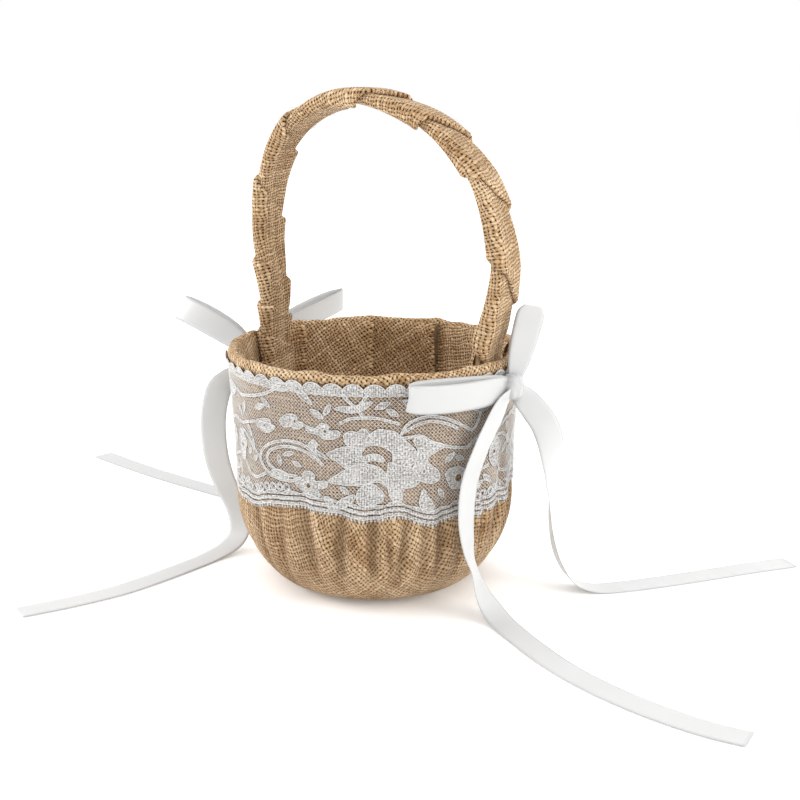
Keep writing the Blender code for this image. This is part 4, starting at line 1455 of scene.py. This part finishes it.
def new_material(name, constants, existing=None):
    """A material with a Principled shader on the output, set to the given constants. Gives it
    with its tree, its shader and the sockets of its coordinates."""
    material = existing or bpy.data.materials.new(name)
    material.use_nodes = True
    tree = material.node_tree
    tree.nodes.clear()
    shader = tree.nodes.new("ShaderNodeBsdfPrincipled")
    for label, value in constants.items():
        shader.inputs[label].default_value = value
    add(tree, "ShaderNodeOutputMaterial", {"Surface": shader.outputs[0]})
    return material, tree, shader, tree.nodes.new("ShaderNodeTexCoord").outputs


def relief(tree, shader, height, strength, distance):
    """A height that bends the light on the surface."""
    inputs = {"Height": height, "Strength": strength, "Distance": distance}
    tree.links.new(add(tree, "ShaderNodeBump", inputs).outputs[0], shader.inputs["Normal"])


def painted_shade_share(tree):
    """The painted shade each point of the mesh carries: how deep it lies in a fold, or how much greyer
    the satin is painted.
    """
    return add(tree, "ShaderNodeAttribute", attribute_name="fold").outputs["Fac"]


print("shader helpers ready")


# %% The weave group
THREAD_HALF = 0.302  # half a thread's width, in pitches, before chance adds to it
THREAD_CHANCE, THREAD_SLUB, SLUB_SHIFT = 0.07, 0.22, 0.26
SLUB_LENGTH, MAP_PUSH = 0.22, 2.0
DOME, OVER_UNDER = 0.55, 0.38  # a thread's own height, and how far it goes up and down
BELOW_ALL, LOWEST = 3.0, -0.8


def weave_thread(tree, axis, across, along, fullness):
    """The threads of one direction: level, presence, chance and streaks at each point."""
    index = calc(tree, "FLOOR", across)
    local = centred(tree, calc(tree, "FRACT", across))
    tag = calc(tree, "ADD", index, 57.31 * axis + 3.7)
    chance = add(tree, "ShaderNodeTexWhiteNoise", {"W": tag}, noise_dimensions="1D").outputs["Value"]
    where = vector(tree, times(tree, tag, 5.13), times(tree, along, SLUB_LENGTH), 4.0 * axis)
    slub = centred(tree, noise(tree, where, 1.0, 1.0))
    half = calc(tree, "MULTIPLY_ADD", chance, THREAD_CHANCE, THREAD_HALF)
    half = calc(tree, "MULTIPLY_ADD", slub, THREAD_SLUB, half)
    half = times(tree, half, fullness)
    shift = calc(tree, "MULTIPLY_ADD", slub, SLUB_SHIFT, local)
    ratio = calc(tree, "DIVIDE", shift, half)
    dome = calc(tree, "SUBTRACT", 1.0, times(tree, ratio, ratio))
    inside = calc(tree, "GREATER_THAN", dome, 0.0)
    bulge = calc(tree, "SQRT", calc(tree, "MAXIMUM", dome, 0.0))
    phase = calc(tree, "SINE", times(tree, calc(tree, "ADD", along, index), math.pi))
    signed = times(tree, phase, OVER_UNDER if axis == 0 else -OVER_UNDER)
    level = calc(tree, "ADD", times(tree, bulge, DOME), signed)
    outside = calc(tree, "SUBTRACT", inside, 1.0)
    level = calc(tree, "ADD", level, times(tree, outside, BELOW_ALL))
    hairs = vector(tree, times(tree, across, 5.5), times(tree, along, 0.9), tag)
    return level, inside, chance, noise(tree, hairs, 1.0, 2.0)


def weave_group():
    """A plain weave: how high the cloth is, the tint of the thread on top, and where holes are."""
    tree = bpy.data.node_groups.new("Plain weave", "ShaderNodeTree")
    kinds = {"Map": "NodeSocketVector", "Pitch": "NodeSocketFloat", "Fullness": "NodeSocketFloat"}
    for label, kind in kinds.items():
        tree.interface.new_socket(label, in_out="INPUT", socket_type=kind)
    for label in ("Height", "Tint", "Hole", "Streak"):
        tree.interface.new_socket(label, in_out="OUTPUT", socket_type="NodeSocketFloat")
    given = tree.nodes.new("NodeGroupInput").outputs
    result = tree.nodes.new("NodeGroupOutput").inputs
    per_thread = calc(tree, "DIVIDE", 1.0, given["Pitch"])
    scaled = move(tree, "SCALE", {0: given["Map"], "Scale": per_thread})
    push = add(tree, "ShaderNodeTexNoise", {"Vector": scaled, "Scale": 0.23, "Detail": 2.0})
    middle = move(tree, "SUBTRACT", {0: push.outputs["Color"], 1: (0.5, 0.5, 0.5)})
    place = move(tree, "ADD", {0: scaled, 1: move(tree, "SCALE", {0: middle, "Scale": MAP_PUSH})})
    u, v = add(tree, "ShaderNodeSeparateXYZ", {0: place}).outputs[:2]
    level_a, in_a, chance_a, streak_a = weave_thread(tree, 0, u, v, given["Fullness"])
    level_b, in_b, chance_b, streak_b = weave_thread(tree, 1, v, u, given["Fullness"])
    first = calc(tree, "GREATER_THAN", level_a, level_b)
    top = calc(tree, "MAXIMUM", level_a, level_b)
    hole = calc(tree, "SUBTRACT", 1.0, calc(tree, "MAXIMUM", in_a, in_b))
    for label, a, b in (("Tint", chance_a, chance_b), ("Streak", streak_a, streak_b)):
        node = add(tree, "ShaderNodeMix", {0: first, 2: b, 3: a}, data_type="FLOAT")
        tree.links.new(node.outputs[0], result[label])
    tree.links.new(calc(tree, "MAXIMUM", top, LOWEST), result["Height"])
    tree.links.new(hole, result["Hole"])
    return tree


tool_weave = weave_group()
print("weave nodes", len(tool_weave.nodes))

# %% Burlap in two uses
WEAVE_PITCH = 0.00150
THREAD_DARK = (0.27, 0.145, 0.055, 1)
THREAD_MIDDLE = (0.50, 0.312, 0.156, 1)
THREAD_PALE = (0.80, 0.595, 0.375, 1)
THREAD_MARKS = (0.20, 0.5, 0.88)  # where the three tints lie on the ramp
THREAD_DIP_SHADE = (0.16, 0.085, 0.034, 1)  # painted shade on the thread where it dips under another
# painted shade in the holes between threads
HOLE_SHADE_COLOUR = (0.040, 0.016, 0.005, 1)
FOLD_SHADE_COLOUR = (0.14, 0.075, 0.030, 1)
FOLD_SHADE_STRENGTH = 0.42  # how much painted shade darkens the deepest fold
BURLAP = {"Roughness": 0.92, "Specular IOR Level": 0.18, "Sheen Weight": 0.12}


def burlap(name, coordinates):
    """Burlap on the piece's own map, or on object coordinates where it lies in one flat plane."""
    material, tree, shader, source = new_material(name, BURLAP)
    weave = add(tree, "ShaderNodeGroup", node_tree=tool_weave)
    tree.links.new(source[coordinates], weave.inputs["Map"])
    weave.inputs["Pitch"].default_value = WEAVE_PITCH
    weave.inputs["Fullness"].default_value = 1.0
    height, streak = weave.outputs["Height"], weave.outputs["Streak"]
    worn = noise(tree, source["Object"], 38.0, 3.0, 0.6)
    tint = calc(tree, "MULTIPLY_ADD", weave.outputs["Tint"], 0.30, times(tree, worn, 0.9))
    tint = calc(tree, "MULTIPLY_ADD", centred(tree, streak), 1.3, tint)
    ramp = add(tree, "ShaderNodeValToRGB", {"Fac": tint})
    stops = ramp.color_ramp.elements
    stops.new(THREAD_MARKS[1])
    for stop, mark, colour in zip(stops, THREAD_MARKS, (THREAD_DARK, THREAD_MIDDLE, THREAD_PALE)):
        stop.position, stop.color = mark, colour
    thread = mix(tree, remap(tree, height, -0.12, 0.74), THREAD_DIP_SHADE, ramp.outputs["Color"])
    colour = mix(tree, weave.outputs["Hole"], thread, HOLE_SHADE_COLOUR)
    # painted shade from the mesh's fold attribute, mixed into the burlap's colour
    share = calc(tree, "MULTIPLY_ADD", painted_shade_share(tree), FOLD_SHADE_STRENGTH, 0.0)
    tree.links.new(mix(tree, share, colour, FOLD_SHADE_COLOUR), shader.inputs["Base Color"])
    relief(tree, shader, calc(tree, "MULTIPLY_ADD", streak, 0.35, height), 1.0, 0.0006)
    return material


burlap_outside = burlap("burlap_outside", "UV")
burlap_inside = burlap("burlap_inside", "UV")
burlap_flat = burlap("burlap_flat", "Object")
for piece in (cover, hem, wrap):
    piece.data.materials.append(burlap_outside)
lining.data.materials.append(burlap_inside)
print("burlap in", burlap_outside.name, burlap_inside.name, burlap_flat.name)

# %% [markdown]
# ## Threads, satin and lace
#
# Satin's long floats run along the ribbon, so its gloss is stretched across it. Fine lines
# along the ribbon and a slightly raised selvedge keep it from looking like plastic film.
#
# The lace's dense parts are knitted, with fine upright columns that let a little burlap
# through. The cords and the net, like the jute fibres, are one colour with fine spots.


# %% Fibres and threads: one colour with fine spots
def spotted(material, dark, light, scale, constants):
    """Fill a material that was made empty, when its threads were grown."""
    _, tree, shader, source = new_material(material.name, constants, material)
    spot = noise(tree, source["Object"], scale)
    tree.links.new(mix(tree, spot, dark, light), shader.inputs["Base Color"])


spotted(fibre_material, (0.52, 0.33, 0.16, 1), (0.88, 0.72, 0.50, 1), 300.0, {"Roughness": 0.8})
spotted(
    lace_thread_material,
    (0.68, 0.675, 0.665, 1),
    (0.80, 0.80, 0.79, 1),
    900.0,
    {"Roughness": 0.7, "Specular IOR Level": 0.25},
)
print("spotted", fibre_material.name, lace_thread_material.name)

# %% Satin ribbon
SATIN = {
    "Specular IOR Level": 0.45,
    "Sheen Weight": 0.25,
    "Subsurface Weight": 0.18,
    "Subsurface Radius": (0.0012, 0.0012, 0.0012),
}
SATIN_LOW, SATIN_HIGH = (0.56, 0.56, 0.555, 1), (0.63, 0.63, 0.625, 1)
# the first colour is painted shade on the satin, the second the selvedge's own tone
SATIN_SHADE_GREY, SATIN_EDGE = (0.44, 0.44, 0.437, 1), (0.42, 0.42, 0.415, 1)
FLOATS_ALONG, FLOATS_ACROSS = 60.0, 5200.0  # the floats are long and very narrow

material, tree, shader, source = new_material("ribbon_satin", SATIN)
u, v = add(tree, "ShaderNodeSeparateXYZ", {0: source["UV"]}).outputs[:2]
aside = calc(tree, "ABSOLUTE", calc(tree, "DIVIDE", v, RIBBON_WIDTH * MM / 2))
selvedge = remap(tree, aside, 0.90, 0.95)
stretched = vector(tree, times(tree, u, FLOATS_ALONG), times(tree, v, FLOATS_ACROSS))
floats = noise(tree, stretched, 1.0, 2.0)
ribs = add(tree, "ShaderNodeTexWave", {"Vector": source["UV"], "Scale": 900.0}, bands_direction="X")
face = mix(tree, noise(tree, source["Object"], 45.0, 2.0), SATIN_LOW, SATIN_HIGH)
# painted shade: the satin is greyed where the mesh's fold attribute says
face = mix(tree, painted_shade_share(tree), face, SATIN_SHADE_GREY)
edge = mix(tree, times(tree, selvedge, 0.5), face, SATIN_EDGE)
tree.links.new(edge, shader.inputs["Base Color"])
tree.links.new(remap(tree, floats, 0.2, 0.8, 0.30, 0.46), shader.inputs["Roughness"])
lines = calc(tree, "MULTIPLY_ADD", floats, 0.5, times(tree, ribs.outputs["Fac"], 0.12))
level = calc(tree, "ADD", lines, times(tree, selvedge, 0.8))
relief(tree, shader, level, 0.35, 0.00006)
for piece in list(tails.values()) + list(loops.values()) + list(knots.values()):
    piece.data.materials.append(material)
print("satin nodes", len(tree.nodes))

# %% Lace cloth
LACE = {
    "Roughness": 0.75,
    "Specular IOR Level": 0.2,
    "Subsurface Weight": 0.1,
    "Subsurface Radius": (0.001, 0.001, 0.001),
}
KNIT_OPEN, KNIT_DENSE = (0.12, 0.100, 0.085, 1), (0.78, 0.775, 0.765, 1)
COLUMN_PITCH, STITCH_PITCH = 0.00066, 0.00092
STIPPLE, PATCHES = 4.2, 1.2  # how strong the fine and the slow unevenness are

material, tree, shader, source = new_material("lace_knit", LACE)
u, v = add(tree, "ShaderNodeSeparateXYZ", {0: source["UV"]}).outputs[:2]
sway = times(tree, noise(tree, source["UV"], 260.0), 2.2)
columns = calc(tree, "ADD", times(tree, u, math.tau / COLUMN_PITCH), sway)
columns = times(tree, calc(tree, "SINE", columns), 0.78)
stitches = times(tree, calc(tree, "SINE", times(tree, v, math.tau / STITCH_PITCH)), 0.22)
stipple = centred(tree, noise(tree, source["UV"], 1150.0, 1.0))
knit = calc(tree, "MULTIPLY_ADD", stipple, STIPPLE, calc(tree, "ADD", columns, stitches))
patch = noise(tree, source["UV"], 130.0, 2.0)
open_share = remap(tree, calc(tree, "MULTIPLY_ADD", patch, PATCHES, knit), -0.6, 1.75)
tree.links.new(mix(tree, open_share, KNIT_OPEN, KNIT_DENSE), shader.inputs["Base Color"])
relief(tree, shader, knit, 0.5, 0.00015)
lace.data.materials.append(material)
print("lace nodes", len(tree.nodes))

# %% [markdown]
# ## The parts that come from the CAD, and the floor
#
# The bucket, the card disc, the handle's strip and the glue are hidden by cloth, so they keep
# the CAD's meshes and get a plain speckled stuff. So do the two burlap discs on and under the
# bucket's bottom: each lies in one plane, so its weave is mapped by object coordinates. The
# floor is lit from below a little, so the shadows on it stay faint.


# %% Looks of the CAD's parts
def speckled(name, dark, light, scale, roughness, bump_strength, gloss=0.4):
    """A plain stuff with slow and fine variation, on object coordinates."""
    material, tree, shader, source = new_material(name, {"Specular IOR Level": gloss})
    slow = noise(tree, source["Object"], scale, 3.0, 0.55)
    fine = noise(tree, source["Object"], scale * 14, 2.0)
    share = calc(tree, "MULTIPLY_ADD", fine, 0.4, times(tree, slow, 0.6))
    colour = mix(tree, remap(tree, share, 0.3, 0.7), dark, light)
    tree.links.new(colour, shader.inputs["Base Color"])
    rough = remap(tree, fine, 0.3, 0.7, roughness - 0.06, roughness + 0.06)
    tree.links.new(rough, shader.inputs["Roughness"])
    relief(tree, shader, share, bump_strength, 0.0003)
    return material


PLASTIC = ("pail_plastic", (0.55, 0.54, 0.52, 1), (0.70, 0.69, 0.67, 1), 40.0, 0.42, 0.1)
BOARD = ("grey_board", (0.36, 0.34, 0.31, 1), (0.52, 0.50, 0.46, 1), 120.0, 0.85, 0.4, 0.2)
STRIP = ("handle_strip", (0.62, 0.48, 0.30, 1), (0.76, 0.62, 0.42, 1), 60.0, 0.6, 0.2)
GLUE = ("hot_glue", (0.78, 0.74, 0.64, 1), (0.88, 0.85, 0.77, 1), 80.0, 0.3, 0.3, 0.5)
FLOOR = ("pale_floor", (0.935, 0.935, 0.93, 1), (0.95, 0.95, 0.945, 1), 3.0, 0.7, 0.02, 0.2)
FLOOR_GLOW, GLOW_COLOUR = 0.16, (1.0, 0.995, 0.985, 1)

glue = speckled(*GLUE)
CAD_LOOKS = {
    "pail_shell": speckled(*PLASTIC),
    "base_board": speckled(*BOARD),
    "handle_core": speckled(*STRIP),
    "foot_glue_left": glue,
    "foot_glue_right": glue,
    "base_patch": burlap_flat,
    "lining_floor": burlap_flat,
}
for name, look in CAD_LOOKS.items():
    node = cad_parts[name]
    node = bpy.data.objects[node] if isinstance(node, str) else node
    if not node.material_slots:
        node.data.materials.append(look)
    for material_slot in node.material_slots:
        material_slot.link = "OBJECT"
        material_slot.material = look
floor_material = speckled(*FLOOR)
glow = floor_material.node_tree.nodes["Principled BSDF"].inputs
glow["Emission Color"].default_value = GLOW_COLOUR
glow["Emission Strength"].default_value = FLOOR_GLOW
floor.data.materials.append(floor_material)
print("materials", len(bpy.data.materials))

# %% [markdown]
# ## What each cloth is, and how much of it there is
#
# Every sheet is listed with the size it was cut to, and the area made is printed beside it. The cover is
# a wide strip sewn into a tube and gathered under the base, the lining a long strip folded into its
# pleats, the hem a narrow strip rolled over, the wrap a bandage, and the lace a band closed into a ring.
# Most of the lace's band is open net, so it is listed with the area of its cloth.

LACE_AREA = 0.0114
sheets = [  # piece, flat size in millimetres, area in square metres, how it is held, on what
    (cover, (150.0, 408.0), None, "gathered", ["pail_shell"], []),
    (lining, (97.3, 470.0), None, "gathered", ["pail_shell"], []),
    (hem, (15.3, 397.0), None, "folded", ["pail_shell"], []),
    (wrap, (38.0, 590.0), None, "stretched", ["handle_core"], []),
    (
        lace,
        (LACE_HEIGHT, REPEATS * REPEAT),
        LACE_AREA,
        "stretched",
        ["cover_burlap"],
        [lace_cords, lace_net],
    ),
]
for piece, (width, length), area, held, rests_on, extra in sheets:
    made = sum(p.area for p in piece.data.polygons)
    print(piece.name, "made m2", round(made, 5), "cut", area or round(width * length * MM * MM, 5))
